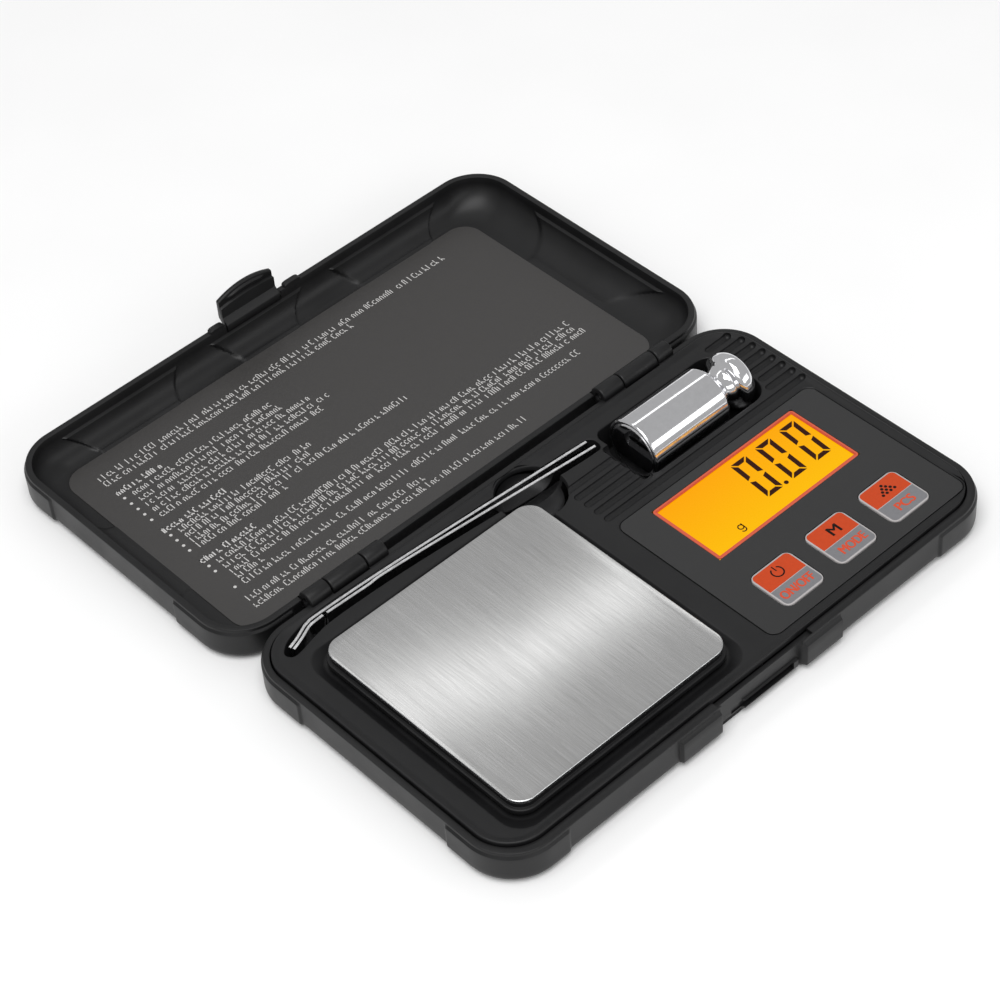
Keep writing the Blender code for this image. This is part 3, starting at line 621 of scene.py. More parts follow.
# The raised panels inside the lid. Each end is where the panel stops at its top and at the floor.
LONG_PANELS = (((-62.3, -56.0), (-26.4, -30.2)), ((-15.9, -10.5), (14.2, 8.7)), ((23.6, 28.7), (60.1, 54.5)))
RIGHT_PANELS = (((17.0, 29.0), (65.1, 58.0)),)
LEFT_PANELS = (((22.8, 28.5), (66.8, 59.5)),)
PANEL_TOP = 6.7
PANEL_PROUD = 0.75
PANEL_STEP = 0.45
# Heights of the rings down the lid's inner wall, closest at the panels' tops and at the floor
LID_LEVELS = (
    *(7.6, 7.3, 7.0, 6.9, 6.82, 6.74, 6.66, 6.58, 6.4, 6.0, 5.5),
    *(5.0, 4.5, 4.0, 3.5, 3.0, 2.6, 2.2, 1.85, 1.5, 1.25, 1.1, 1.0),
)


def panel_share(along, z, panels, soft):
    """1 on a raised panel, whose ends slant from its top to the floor."""
    down = min(max((PANEL_TOP - z) / (PANEL_TOP - LID_FLOOR), 0.0), 1.0)
    total = 0.0
    for (left_top, left_low), (right_top, right_low) in panels:
        left = left_top + (left_low - left_top) * down
        right = right_top + (right_low - right_top) * down
        total += smoothstep(left, left + soft, along) * (1.0 - smoothstep(right - soft, right, along))
    return total * smoothstep(PANEL_TOP + 0.12, PANEL_TOP - 0.12, z)


def lid_inner_ring(z, steps, past_wall=0.0):
    """One ring of the lid's inside: the wall curves in to the floor and the panels stand proud of it."""
    left, right, near, far = LID_CURVE
    down = min((LID_CURVE_TOP - z) / (LID_CURVE_TOP - LID_FLOOR), 1.0)
    share = 1.0 - math.sqrt(1.0 - down * down)
    box_2d = (
        -HALF_X + WALL + left * share + past_wall,
        HALF_X - WALL - right * share - past_wall,
        LID_NEAR + WALL + near * share + past_wall,
        LID_FAR - WALL - far * share - past_wall,
    )
    ring = []
    for x, y, nx, ny in around(box_2d, CORNER_R - WALL - 4.5 * share - 0.4 * past_wall, steps):
        raised = 0.0
        if nx > 0.999:
            raised = panel_share(y, z, RIGHT_PANELS, 2.4)
        elif nx < -0.999:
            raised = panel_share(y, z, LEFT_PANELS, 1.6)
        elif abs(ny) > 0.999:
            raised = panel_share(x, z, LONG_PANELS, 0.9)
        proud = PANEL_PROUD * raised
        height = z if past_wall else max(z, LID_FLOOR + PANEL_STEP * raised)
        ring.append((x - nx * proud, y - ny * proud, height))
    return ring


def lid_skin():
    marks = [(side, x) for side in (FRONT, BACK) for x in END_STRAIGHT]
    marks += [(side, y) for side in (LEFT, RIGHT) for y in LID_STRAIGHT]
    steps = stations(LID_FRAME, CORNER_R, marks, 0.4)
    rings = outer_rings(LID_FRAME, LID_STRAIGHT, steps)
    rings += inset_rings(around(LID_FRAME, CORNER_R, steps), RIM_ROUND)
    for z in LID_LEVELS:
        rings.append(lid_inner_ring(z, steps))
    rings.append(lid_inner_ring(LID_FLOOR, steps, 0.05))
    rings.append(lid_inner_ring(LID_FLOOR, steps, 1.2))
    return rings_mesh("lid_shell_skin", rings)


def floor_hole(shell, name, node, mouth_r, r):
    """A vertical hole round a node's axis, through the floor, with its mouth on the underside."""
    x, y = box_middle(node)
    levels = [(disc(x, y, mouth_r, 32), -1.0), (disc(x, y, r, 32), 0.35), (disc(x, y, r, 32), 3.0)]
    cut(shell, loft(name, levels))


CASE_SCREWS = ["case_screw_%d" % n for n in range(1, 5)]
CELL_SCREWS = ["load_cell_screw_%d" % n for n in range(1, 3)]
HEAD_MOUTH_R = 2.8
HEAD_HOLE_R = 2.5
CELL_HOLE_R = 1.6
COVER_HOLE_R = 2.7
COVER_GAP = 0.3
# Room in the front wall for the closed lid: the latch's hook, and the shoulders beside the latch
HOOK_SLOT = ((-10.2, 9.0), (-90.0, -87.75), (2.2, 4.1))
SHOULDER_ROOM = ((-15.2, 15.0), (-88.9, -86.8), (8.3, 12.0))


def make_base_shell():
    shell = base_skin()
    cut(shell, box("slot", *HOOK_SLOT))
    cut(shell, box("shoulder_room", *SHOULDER_ROOM))
    hinge_cuts(shell, "base")
    cut(shell, prism("cover_hole", grown_rect(COVER[:4], COVER_GAP, COVER_HOLE_R), -1.0, 1.5))
    for screw in CASE_SCREWS:
        floor_hole(shell, "head_hole", screw, HEAD_MOUTH_R, HEAD_HOLE_R)
    for screw in CELL_SCREWS:
        floor_hole(shell, "cell_hole", screw, CELL_HOLE_R, CELL_HOLE_R)
    place(shell, "base", shell_black, ["base_shell"])


def knuckle(name, x0, x1):
    """One hinge knuckle with rounded rims."""
    rim = ((0.0, 0.35), (0.06, 0.16), (0.18, 0.04), (0.35, 0.0))
    profile = [(x0 + inward, BARREL_R - drop) for inward, drop in rim]
    profile += [(x1 - inward, BARREL_R - drop) for inward, drop in reversed(rim)]
    return lathe_x(name, profile, 0.0, RIM_Z, 48)


def hinge_cuts(shell, owner):
    """Notches the wall for the other half's knuckles, adds this half's own, and drills them for the pin."""
    for start, split_a, split_b, end in HINGES:
        ends = ((start, split_a - BARREL_SPLIT), (split_b + BARREL_SPLIT, end))
        middle = ((split_a + BARREL_SPLIT, split_b - BARREL_SPLIT),)
        own, others = (ends, middle) if owner == "base" else (middle, ends)
        for x0, x1 in others:
            room = [(x0 - BARREL_END_ROOM, BARREL_CLEAR), (x1 + BARREL_END_ROOM, BARREL_CLEAR)]
            cut(shell, lathe_x("room", room, 0.0, RIM_Z, 48))
        for x0, x1 in own:
            add(shell, knuckle("knuckle", x0, x1))
        pin_hole = [(start - 2.0, PIN_HOLE_R), (end + 2.0, PIN_HOLE_R)]
        cut(shell, lathe_x("pin_hole", pin_hole, 0.0, RIM_Z, 32))


LATCH_GAP = 0.4
# Low humps on the lid's rim beside the latch: their ends along X, and (height over the rim, pull-in)
SHOULDERS = ((-14.8, -10.4), (9.4, 14.6))
SHOULDER_PROFILE = ((-0.5, 0.0), (0.25, 0.0), (0.5, 0.12), (0.68, 0.35), (0.8, 0.9))


def make_lid_shell():
    shell = lid_skin()
    y0, y1 = LID_FAR - WALL, LID_FAR
    for x0, x1 in SHOULDERS:
        levels = []
        for lift, pull in SHOULDER_PROFILE:
            levels.append((rounded_rect(x0 + pull, x1 - pull, y0 + 0.02, y1 - 0.02, 0.25, 4), RIM_Z + lift))
        add(shell, loft("shoulder", levels))
    cut(shell, box("seat", (LATCH[0] - LATCH_GAP, LATCH[1] + LATCH_GAP), (86.4, 92.0), (6.9, 12.0)))
    hinge_cuts(shell, "lid")
    place(shell, "lid", lid_black, ["lid_shell"])


make_base_shell()
make_lid_shell()


# Deck ------------


def uneven_rect(box_2d, corner_radii, grow, steps=12):
    """A rectangle grown by grow whose corners differ: near right, far right, far left, near left."""
    x0, x1, y0, y1 = box_2d
    points = []
    corners = ((x1, y0, -1, 1, -90), (x1, y1, -1, -1, 0), (x0, y1, 1, -1, 90), (x0, y0, 1, 1, 180))
    for (x, y, step_x, step_y, start), r in zip(corners, corner_radii):
        for i in range(steps + 1):
            angle = math.radians(start + 90.0 * i / steps)
            reach_x = (r + grow) * math.cos(angle)
            reach_y = (r + grow) * math.sin(angle)
            points.append((x + step_x * r + reach_x, y + step_y * r + reach_y))
    return points


POCKET_RADII = (5.6, 5.6, 2.5, 2.5)
# A soft slope for a finger at the pocket's left: start x, end x, y range, depth
FINGER_SLOPE = (23.2, 27.8, -27.8, -13.6, 4.5)


def flared_cutter(name, outline_at, floor, top, lip=0.3, foot=0.4):
    """A cutter whose mouth flares in a quarter round and whose foot is rounded in.
    outline_at(grow) gives its outline."""
    angles = [math.radians(90.0 * i / 4) for i in range(5)]
    levels = []
    for angle in angles:
        levels.append((outline_at(-foot * (1.0 - math.sin(angle))), floor + foot * (1.0 - math.cos(angle))))
    for angle in angles:
        levels.append((outline_at(lip * (1.0 - math.cos(angle))), top - lip * (1.0 - math.sin(angle))))
    levels.append((outline_at(lip + 0.05), top + 2.5))
    return loft(name, levels)


# The deck's crest just inside the wall, from its underside up and over to the flat: (inset, z)
CREST_PROFILE = (
    *((2.0, DECK_UNDER), (2.0, DECK_CREST - 0.32), (2.04, DECK_CREST - 0.18), (2.14, DECK_CREST - 0.06)),
    *((2.32, DECK_CREST), (2.6, DECK_CREST - 0.05), (3.6, DECK_TOP + 0.08), (4.0, DECK_TOP + 0.01)),
    (4.3, DECK_TOP),
)
# The tubs under the deck's openings reach up into it to this height
TUB_TOP = 8.65
# Cutters reach this far over the deck
OVER = 2.0
CUT_LOW = 5.0
CUT_HIGH = 12.0
BOSS_R = 2.3
BOSS_HOLE_R = 1.3
POST_HOLE = ((-27.0, -11.0), (-56.0, -39.5), (4.0, 9.0))


def make_deck_tubs(deck, channel):
    """The closed tubs that the platform well, the channel, the scoop and the pocket are cut into."""
    tub = offset_outline(channel, 1.0)
    well_levels = [(grown_rect(WELL, 0.6, 5.4), WELL_FLOOR - 1.2), (grown_rect(WELL, 0.9, 5.1), TUB_TOP)]
    add(deck, loft("well_tub", well_levels))
    add(deck, prism("channel_tub", tub, 2.7, TUB_TOP))
    add(deck, prism("scoop_tub", disc(SCOOP[0], SCOOP[1] + 0.6, 8.1), 3.4, TUB_TOP))
    add(deck, prism("pocket_tub", grown_rect(POCKET, 1.2, 2.0), 1.4, TUB_TOP))


def well_cutter():
    """The platform's well, with a step round the plate and an eased edge."""
    levels = [
        (grown_rect(PLATE[:4], 1.0, PLATE_R), WELL_FLOOR),
        (grown_rect(PLATE[:4], 1.4, PLATE_R), WELL_FLOOR + 0.06),
        (grown_rect(PLATE[:4], 1.8, PLATE_R), WELL_FLOOR + 0.3),
    ]
    for grow, z in ((-0.35, -0.25), (-0.05, -0.06), (0.35, 0.02), (0.5, OVER)):
        levels.append((grown_rect(WELL, grow, WELL_R), DECK_TOP + z))
    return loft("well", levels)


def slope_cutter():
    x0, x1, y0, y1, depth = FINGER_SLOPE
    levels = []
    for i in range(7):
        share = i / 6
        pull = (x1 - x0) * (1.0 - share) ** 1.6
        outline = rounded_rect(x0 + pull, x1 + 2.0, y0 + 0.4 * pull, y1 - 0.4 * pull, 0.9, 5)
        levels.append((outline, DECK_TOP + 0.02 - depth * (1.0 - share)))
    levels.append((levels[-1][0], DECK_TOP + OVER))
    return loft("finger_slope", levels)


def scoop_cutter():
    """The finger scoop: a round dish with an eased edge."""
    x, y, radius = SCOOP
    levels = []
    for i in range(8):
        angle = math.radians(90.0 * i / 7)
        r = (radius - 0.2) * math.sin(angle) * 0.55 + (radius - 0.2) * 0.45
        levels.append((disc(x, y + 0.6 * (1 - i / 7), r), 4.6 + 4.6 * (1.0 - math.cos(angle))))
    for grow, z in ((-0.05, -0.06), (0.3, 0.02), (0.4, OVER)):
        levels.append((disc(x, y, radius + grow), DECK_TOP + z))
    return loft("scoop", levels)


def groove_cutter(y, x0, x1):
    """A groove with an elliptical section and round ends."""
    half = GROOVE_W / 2
    levels = []
    for i in range(8):
        angle = math.radians(8 + 82 * i / 7)
        pull = half * (1.0 - math.sin(angle))
        z = DECK_TOP + 0.02 - GROOVE_DEPTH * math.cos(angle)
        outline = rounded_rect(x0 + pull, x1 - pull, y - half + pull, y + half - pull, half - pull - 0.01, 5)
        levels.append((outline, z))
    levels.append((levels[-1][0], DECK_TOP + OVER))
    return loft("groove", levels)


def display_hole(name):
    """A cutter for the display's window, a little wider than its border."""
    return box(name, (BEZEL[0] - 0.1, BEZEL[1] + 0.1), (BEZEL[2] - 0.1, BEZEL[3] + 0.1), (CUT_LOW, CUT_HIGH))


def cut_key_holes(target, gap):
    for key_name in KEY_NAMES:
        hole = grown_rect(node_box("key_" + key_name)[:4], gap, KEY_R + gap, 6)
        cut(target, prism("key_hole", hole, CUT_LOW, CUT_HIGH))


def make_deck():
    deck = rect_loft("top_deck_skin", BASE_INNER, CORNER_R, 20, [(-inset, z) for inset, z in CREST_PROFILE])
    channel = soften_outline(CHANNEL, 3, 0.22)
    recess = (OVERLAY[0] - 0.2, OVERLAY[1] + 0.2, OVERLAY[2] - 0.2, OVERLAY[3] + 0.2)

    def channel_at(grow):
        return offset_outline(channel, grow)

    def pocket_at(grow):
        return uneven_rect(POCKET, POCKET_RADII, grow)

    def recess_at(grow):
        return grown_rect(recess, grow, OVERLAY_R + 0.2)

    make_deck_tubs(deck, channel)
    cut(deck, well_cutter())
    cut(deck, flared_cutter("channel", channel_at, 3.7, DECK_TOP, 0.2, 0.3))
    cut(deck, flared_cutter("pocket", pocket_at, 0.0, DECK_TOP, 0.35, 0.3))
    cut(deck, slope_cutter())
    cut(deck, scoop_cutter())
    cut(deck, box("post_hole", *POST_HOLE))
    cut(deck, flared_cutter("recess", recess_at, RECESS_FLOOR, DECK_TOP, 0.36, 0.05))
    cut(deck, display_hole("lcd_hole"))
    cut_key_holes(deck, 0.3)
    for groove in GROOVES:
        cut(deck, groove_cutter(*groove))
    for screw in CASE_SCREWS:
        x, y = box_middle(screw)
        add(deck, prism("boss", disc(x, y, BOSS_R, 24), 3.6, 8.6))
        cut(deck, prism("boss_hole", disc(x, y, BOSS_HOLE_R, 24), 3.0, 7.4))
    place(deck, "base", deck_black, ["top_deck"])


make_deck()


# Platform ------------


# The carrier's plate from below, as (how far it is grown past the steel plate, height over its underside)
CARRIER_PROFILE = (
    *((-0.6, 2.1), (0.0, 2.15), (0.5, 2.3), (0.68, 2.6), (0.68, 3.45), (0.6, 3.6), (0.42, 3.68)),
    *((-0.1, 3.7), (-0.2, 3.78)),
)
# The plate's upper edge, as (how far it is grown, depth under its top)
PLATE_EDGE = ((0.0, 0.22), (-0.03, 0.1), (-0.1, 0.03), (-0.22, 0.0))
POST_X = (-25.0, -13.5)


def make_platform():
    box_2d = PLATE[:4]
    levels = [(grow, CARRIER[4] + up) for grow, up in CARRIER_PROFILE]
    levels.append((-0.2, PLATE[4] - 0.05))
    carrier = rect_loft("platform_carrier_skin", box_2d, PLATE_R, 12, levels)
    middle_y = (PLATE[2] + PLATE[3]) / 2
    add(carrier, box("post", POST_X, (middle_y - 5.0, middle_y + 5.0), (CARRIER[4], CARRIER[4] + 2.6)))
    place(carrier, "platform", carrier_black, ["platform_carrier"])
    levels = [(-0.08, PLATE[4]), (0.0, PLATE[4] + 0.08)]
    levels += [(grow, PLATE[5] - under) for grow, under in PLATE_EDGE]
    plate = rect_loft("weighing_plate_skin", box_2d, PLATE_R, 20, levels)
    place(plate, "platform", plate_steel, ["weighing_plate"], 60.0)
    plate.data.materials.append(plate_edge)
    for face in plate.data.polygons:
        if face.normal.z < 0.9:
            face.material_index = 1


make_platform()


# Display, film and keys ------------


def flat_piece(name, outline, z0, z1, rim=0.04):
    """A thin printed or moulded plate with a slightly eased upper rim."""
    levels = [(outline, z0), (outline, z1 - rim), (offset_outline(outline, -rim), z1)]
    return loft(name, levels)


def make_overlay():
    film = flat_piece("control_film", grown_rect(OVERLAY[:4], 0.0, OVERLAY_R, 16), OVERLAY[4], OVERLAY[5])
    cut(film, display_hole("window"))
    cut_key_holes(film, 0.28)
    place(film, "base", overlay_film, ["control_overlay"])


BORDER_W = 0.6
BORDER_LINE_W = 0.3
# The lit panel's colour at its near and its far edge
LIT_NEAR = (1.0, 0.52, 0.0)
LIT_FAR = (1.0, 0.39, 0.0)


def make_display():
    edge = grown_rect(BEZEL[:4], 0.0, 0.9, 6)
    x0, x1, y0, y1, z0, z1 = BEZEL
    border = flat_piece("lcd_border", edge, z0, z1)
    view = BORDER_W
    cut(border, box("view", (x0 + view, x1 - view), (y0 + view, y1 - view), (CUT_LOW, CUT_HIGH)))
    place(border, "base", bezel_salmon, ["lcd_bezel"])
    line = flat_piece("lcd_border_line", grown_rect(BEZEL[:4], -BORDER_W, 0.4, 4), z0, z1 - 0.1)
    view = BORDER_W + BORDER_LINE_W
    cut(line, box("view", (x0 + view, x1 - view), (y0 + view, y1 - view), (CUT_LOW, CUT_HIGH)))
    place(line, "base", bezel_orange)
    lit = lit_panel("lcd_lit", LIT_NEAR, LIT_FAR, GLASS[2], GLASS[3], 0.96)
    panel = flat_piece("lcd_panel", grown_rect(GLASS[:4], 0.0, 0.3, 4), GLASS[4], GLASS[5])
    place(panel, "base", lit, ["lcd_glass"])


# Digits lean: x grows by the shear times the height
DIGIT_W = 5.1
DIGIT_H = 13.5
DIGIT_STROKE = 1.3
DIGIT_GAP = 0.3
DIGIT_SHEAR = 0.085
DIGIT_PITCH = 8.25
FIRST_DIGIT = (39.2, -52.9)
UNIT_MIDDLE = (27.8, -55.3)
UNIT_SIZE = (1.7, 2.6)
UNIT_STROKE = 0.3
POINT_MIDDLE = (45.6, -52.5)
POINT_R = 0.6


def nought_bars():
    """Outlines of the six lit bars of a nought, in the digit's own box."""
    w, h, t, gap = DIGIT_W, DIGIT_H, DIGIT_STROKE, DIGIT_GAP
    mid = h / 2

    def flat(y, up):
        """The top bar for up = 1, the bottom bar for up = -1, with ends cut at 45 degrees."""
        return [(gap, y), (w - gap, y), (w - t - gap, y - up * t), (t + gap, y - up * t)]

    def post(x, side, low, high, low_cut, high_cut):
        """An upright bar, whose inner ends are cut back."""
        inner = x + side * t
        return [(x, low + gap), (inner, low + gap + low_cut), (inner, high - gap - high_cut), (x, high - gap)]

    right = [post(w, -1, mid, h, t / 2, t), post(w, -1, 0.0, mid, t, t / 2)]
    left = [post(0.0, 1, 0.0, mid, t, t / 2), post(0.0, 1, mid, h, t / 2, t)]
    return [flat(h, 1), *right, flat(0.0, -1), *left]


def counter_clockwise(points):
    area = 0.0
    for i, (x, y) in enumerate(points):
        nx, ny = points[(i + 1) % len(points)]
        area += x * ny - nx * y
    return list(points) if area > 0 else list(reversed(points))


def flat_marks(name, outlines, z0, z1):
    """Many small printed marks as one mesh of thin closed prisms."""
    bm = bmesh.new()
    for outline in outlines:
        outline = counter_clockwise(outline)
        low = [bm.verts.new((x * MM, y * MM, z0 * MM)) for x, y in outline]
        high = [bm.verts.new((x * MM, y * MM, z1 * MM)) for x, y in outline]
        count = len(outline)
        for i in range(count):
            j = (i + 1) % count
            bm.faces.new((low[i], low[j], high[j], high[i]))
        bm.faces.new(list(reversed(low)))
        bm.faces.new(high)
    return new_object(name, bm)


# How far one printed layer lies above the next
LAYER = 0.01


def text_marks(name, text, middle, size, z0, z1, bold=0.0):
    """Text in the built-in font as a thin mesh, fitted to a width and a height about a middle point.
    Bold text is the same text printed three times, bold apart."""
    curve = bpy.data.curves.new(name + "_curve", "FONT")
    curve.body = text
    source = bpy.data.objects.new(name + "_curve", curve)
    bpy.context.scene.collection.objects.link(source)
    mesh = evaluated_mesh(source)
    bpy.data.objects.remove(source, do_unlink=True)
    bpy.data.curves.remove(curve)
    xs = [v.co.x for v in mesh.vertices]
    ys = [v.co.y for v in mesh.vertices]
    bm = bmesh.new()
    bm.from_mesh(mesh)
    bpy.data.meshes.remove(mesh)
    for vert in bm.verts:
        across = (vert.co.x - min(xs)) / (max(xs) - min(xs)) - 0.5
        upward = (vert.co.y - min(ys)) / (max(ys) - min(ys)) - 0.5
        fitted = (middle[0] + across * (size[0] - 2.0 * bold), middle[1] + upward * size[1], z0)
        vert.co = Vector(fitted) * MM
    bmesh.ops.remove_doubles(bm, verts=bm.verts, dist=0.000001)
    raised = bmesh.ops.extrude_face_region(bm, geom=bm.faces[:])
    verts = [item for item in raised["geom"] if isinstance(item, bmesh.types.BMVert)]
    bmesh.ops.translate(bm, verts=verts, vec=(0.0, 0.0, (z1 - z0) * MM))
    bmesh.ops.recalc_face_normals(bm, faces=bm.faces[:])
    if bold:
        first = bm.verts[:] + bm.edges[:] + bm.faces[:]
        for layer, side in ((1, -1.0), (2, 1.0)):
            again = bmesh.ops.duplicate(bm, geom=first)
            moved = [item for item in again["geom"] if isinstance(item, bmesh.types.BMVert)]
            bmesh.ops.translate(bm, verts=moved, vec=Vector((side * bold, 0.0, layer * LAYER)) * MM)
    return new_object(name, bm)


def unit_marks():
    """The letter g: a bowl, a stem and a hook."""
    x, y = UNIT_MIDDLE
    w, h = UNIT_SIZE
    marks = []
    r = w / 2
    bowl_y = y + h / 2 - r
    arcs = ((bowl_y, 0, 360, 24), (y - h / 2 + r, 200, 360, 12))
    for centre_y, start, end, count in arcs:
        for i in range(count):
            a = math.radians(start + (end - start) * i / count)
            b = math.radians(start + (end - start) * (i + 1) / count)
            ring = ((r, a), (r, b), (r - UNIT_STROKE, b), (r - UNIT_STROKE, a))
            marks.append([(x + q * math.cos(t), centre_y + q * math.sin(t)) for q, t in ring])
    low, high = y - h / 2 + r, y + h / 2
    marks.append([(x + r - UNIT_STROKE, low), (x + r, low), (x + r, high), (x + r - UNIT_STROKE, high)])
    return marks


def make_digits():
    """Three noughts with a point after the first, and the unit, as an idle scale shows."""
    marks = []
    for n in range(3):
        x0 = FIRST_DIGIT[0] + n * DIGIT_PITCH
        for bar in nought_bars():
            marks.append([(x0 + x + DIGIT_SHEAR * y, FIRST_DIGIT[1] + y) for x, y in bar])
    marks.append(disc(POINT_MIDDLE[0], POINT_MIDDLE[1], POINT_R, 16))
    for name, outlines in (("lcd_digits", marks), ("lcd_unit", unit_marks())):
        place(flat_marks(name, outlines, GLASS[5] - 0.02, GLASS[5] + 0.03), "base", lcd_ink)


KEY_SPLIT_Y = -74.3
KEY_OUTLINE = 0.35
# Each key's legend, and where it starts and ends along X
LEGENDS = {
    "power": ("ON/OFF", 17.75, 27.9),
    "mode": ("MODE", 37.3, 45.4),
    "count": ("PCS", 56.4, 62.0),
}
LEGEND_Y = -77.0
LEGEND_HEIGHT = 2.5
ICON_Y = -70.9
POWER_RING_R = 1.7
POWER_RING_T = 0.38
KEY_STEM_R = 1.6
# The key's upper edge, as (how far it is grown, depth under its top)
KEY_EDGE = ((0.0, 0.22), (-0.06, 0.1), (-0.2, 0.03))
MODE_ICON_MIDDLE = (41.35, -71.2)
MODE_ICON_SIZE = (3.1, 2.8)
COUNT_ICON_X = 59.2


def power_icon(x, y):
    """A ring that is open at the top, and a bar in the opening."""
    outer = []
    inner = []
    for i in range(25):
        angle = math.radians(90 + 32 + 296 * i / 24)
        outer.append((x + POWER_RING_R * math.cos(angle), y + POWER_RING_R * math.sin(angle)))
        thin = POWER_RING_R - POWER_RING_T
        inner.append((x + thin * math.cos(angle), y + thin * math.sin(angle)))
    marks = [[outer[i], outer[i + 1], inner[i + 1], inner[i]] for i in range(24)]
    marks.append([(x - 0.15, y + 0.3), (x + 0.15, y + 0.3), (x + 0.15, y + 2.0), (x - 0.15, y + 2.0)])
    return marks


def count_icon(x, y):
    """A triangle of dots."""
    marks = []
    for row in range(4):
        for k in range(row + 1):
            marks.append(disc(x + (k - row / 2) * 1.3, y + 1.25 - row * 0.83, 0.42, 12))
    return marks


def make_key_icon(key_name, x, z):
    if key_name == "power":
        return flat_marks("key_icon_power", power_icon(x, ICON_Y), *z)
    if key_name == "mode":
        return text_marks("key_icon_mode", "M", MODE_ICON_MIDDLE, MODE_ICON_SIZE, *z, 0.1)
    return flat_marks("key_icon_count", count_icon(COUNT_ICON_X, ICON_Y), *z)


def make_key(key_name):
    """A key with a pale rim, a red and a grey face, an icon and a legend."""
    body = key_name + "_key"
    x0, x1, y0, y1, z0, z1 = node_box("key_" + key_name)
    middle_x = (x0 + x1) / 2
    rect = (x0, x1, y0, y1)
    levels = [(0.0, z0 + 0.8)] + [(grow, z1 - under) for grow, under in KEY_EDGE]
    rim = rect_loft("key_rim_" + key_name, rect, KEY_R, 8, levels)
    add(rim, prism("stem", disc(middle_x, (y0 + y1) / 2, KEY_STEM_R, 24), z0, z0 + 1.2))
    place(rim, body, key_silver, ["key_" + key_name])
    for part, mat, low, high in (
        ("red", key_red, KEY_SPLIT_Y + 0.08, y1 - KEY_OUTLINE),
        ("grey", key_grey, y0 + KEY_OUTLINE, KEY_SPLIT_Y - 0.08),
    ):
        outline = []
        for x, y in grown_rect(rect, -KEY_OUTLINE - 0.1, KEY_R - 0.35, 8):
            outline.append((x, min(max(y, low), high)))
        outline = [p for i, p in enumerate(outline) if (Vector(p) - Vector(outline[i - 1])).length > 0.01]
        face = flat_piece("key_%s_%s" % (part, key_name), outline, z1 - 0.05, z1 - 0.01, 0.02)
        place(face, body, mat)
    ink_z = (z1 - 0.02, z1)
    place(make_key_icon(key_name, middle_x, ink_z), body, key_ink)
    words, legend_x0, legend_x1 = LEGENDS[key_name]
    middle = ((legend_x0 + legend_x1) / 2, LEGEND_Y)
    size = (legend_x1 - legend_x0, LEGEND_HEIGHT)
    legend = text_marks("key_legend_" + key_name, words, middle, size, *ink_z, 0.13)
    place(legend, body, key_legend)


make_overlay()
make_display()
make_digits()
for key in KEY_NAMES:
    make_key(key)


# Calibration weight ------------


def rounded_profile(points, radius, steps=4):
    """A lathe profile whose inner corners are turned with a small radius."""
    result = [points[0]]
    for before, here, after in zip(points, points[1:], points[2:]):
        a = Vector(here) - Vector(before)
        b = Vector(after) - Vector(here)
        reach = min(radius, a.length * 0.45, b.length * 0.45)
        first = Vector(here) - a.normalized() * reach
        last = Vector(here) + b.normalized() * reach
        for i in range(steps + 1):
            t = i / steps
            point = first.lerp(Vector(here), t).lerp(Vector(here).lerp(last, t), t)
            result.append((point.x, point.y))
    result.append(points[-1])
    return result


# The knob beyond the weight's body: (x, radius)
KNOB = (
    *((53.9, 7.5), (54.4, 6.5), (55.4, 5.2), (57.0, 4.8), (58.6, 5.2), (59.5, 6.6), (60.4, 7.4)),
    *((62.2, 7.4), (63.5, 6.8), (64.5, 5.2)),
)
# Where the cylinder ends and its edge starts to turn in
WEIGHT_SHOULDER_X = 53.1


def make_weight():
    x0 = WEIGHT[0]
    r = (WEIGHT[3] - WEIGHT[2]) / 2
    y = (WEIGHT[2] + WEIGHT[3]) / 2
    z = (WEIGHT[4] + WEIGHT[5]) / 2
    outline = [
        (x0, 0.02),
        (x0, r - 1.4),
        (x0 + 0.35, r - 1.1),
        (x0 + 0.35, r - 0.75),
        (x0, r - 0.45),
        (x0 + 0.45, r),
        (WEIGHT_SHOULDER_X, r),
        (WEIGHT_SHOULDER_X + 0.5, r - 0.5),
        *KNOB,
        (WEIGHT[1], 0.02),
    ]
    weight = lathe_x("calibration_weight_skin", rounded_profile(outline, 0.6, 5), y, z, 128)
    place(weight, "weight", chrome, ["calibration_weight"], 40.0)


make_weight()


# Tweezers ------------


def smooth_path(points, step=1.0):
    """Points along a Catmull-Rom curve through the given ones."""
    result = []
    for i in range(len(points) - 1):
        p0 = Vector(points[max(i - 1, 0)])
        p1 = Vector(points[i])
        p2 = Vector(points[i + 1])
        p3 = Vector(points[min(i + 2, len(points) - 1)])
        count = max(2, int((p2 - p1).length / step))
        for k in range(count):
            t = k / count
            a = 2 * p1
            b = (p2 - p0) * t
            c = (2 * p0 - 5 * p1 + 4 * p2 - p3) * t * t
            d = (3 * p1 - p0 - 3 * p2 + p3) * t * t * t
            result.append(tuple(0.5 * (a + b + c + d)))
    result.append(points[-1])
    return result


def beside(path, gap):
    """The path moved sideways, to its right, by gap."""
    moved = []
    for i, here in enumerate(path):
        along = (Vector(path[min(i + 1, len(path) - 1)]) - Vector(path[max(i - 1, 0)])).normalized()
        moved.append((here[0] + along.y * gap, here[1] - along.x * gap))
    return moved


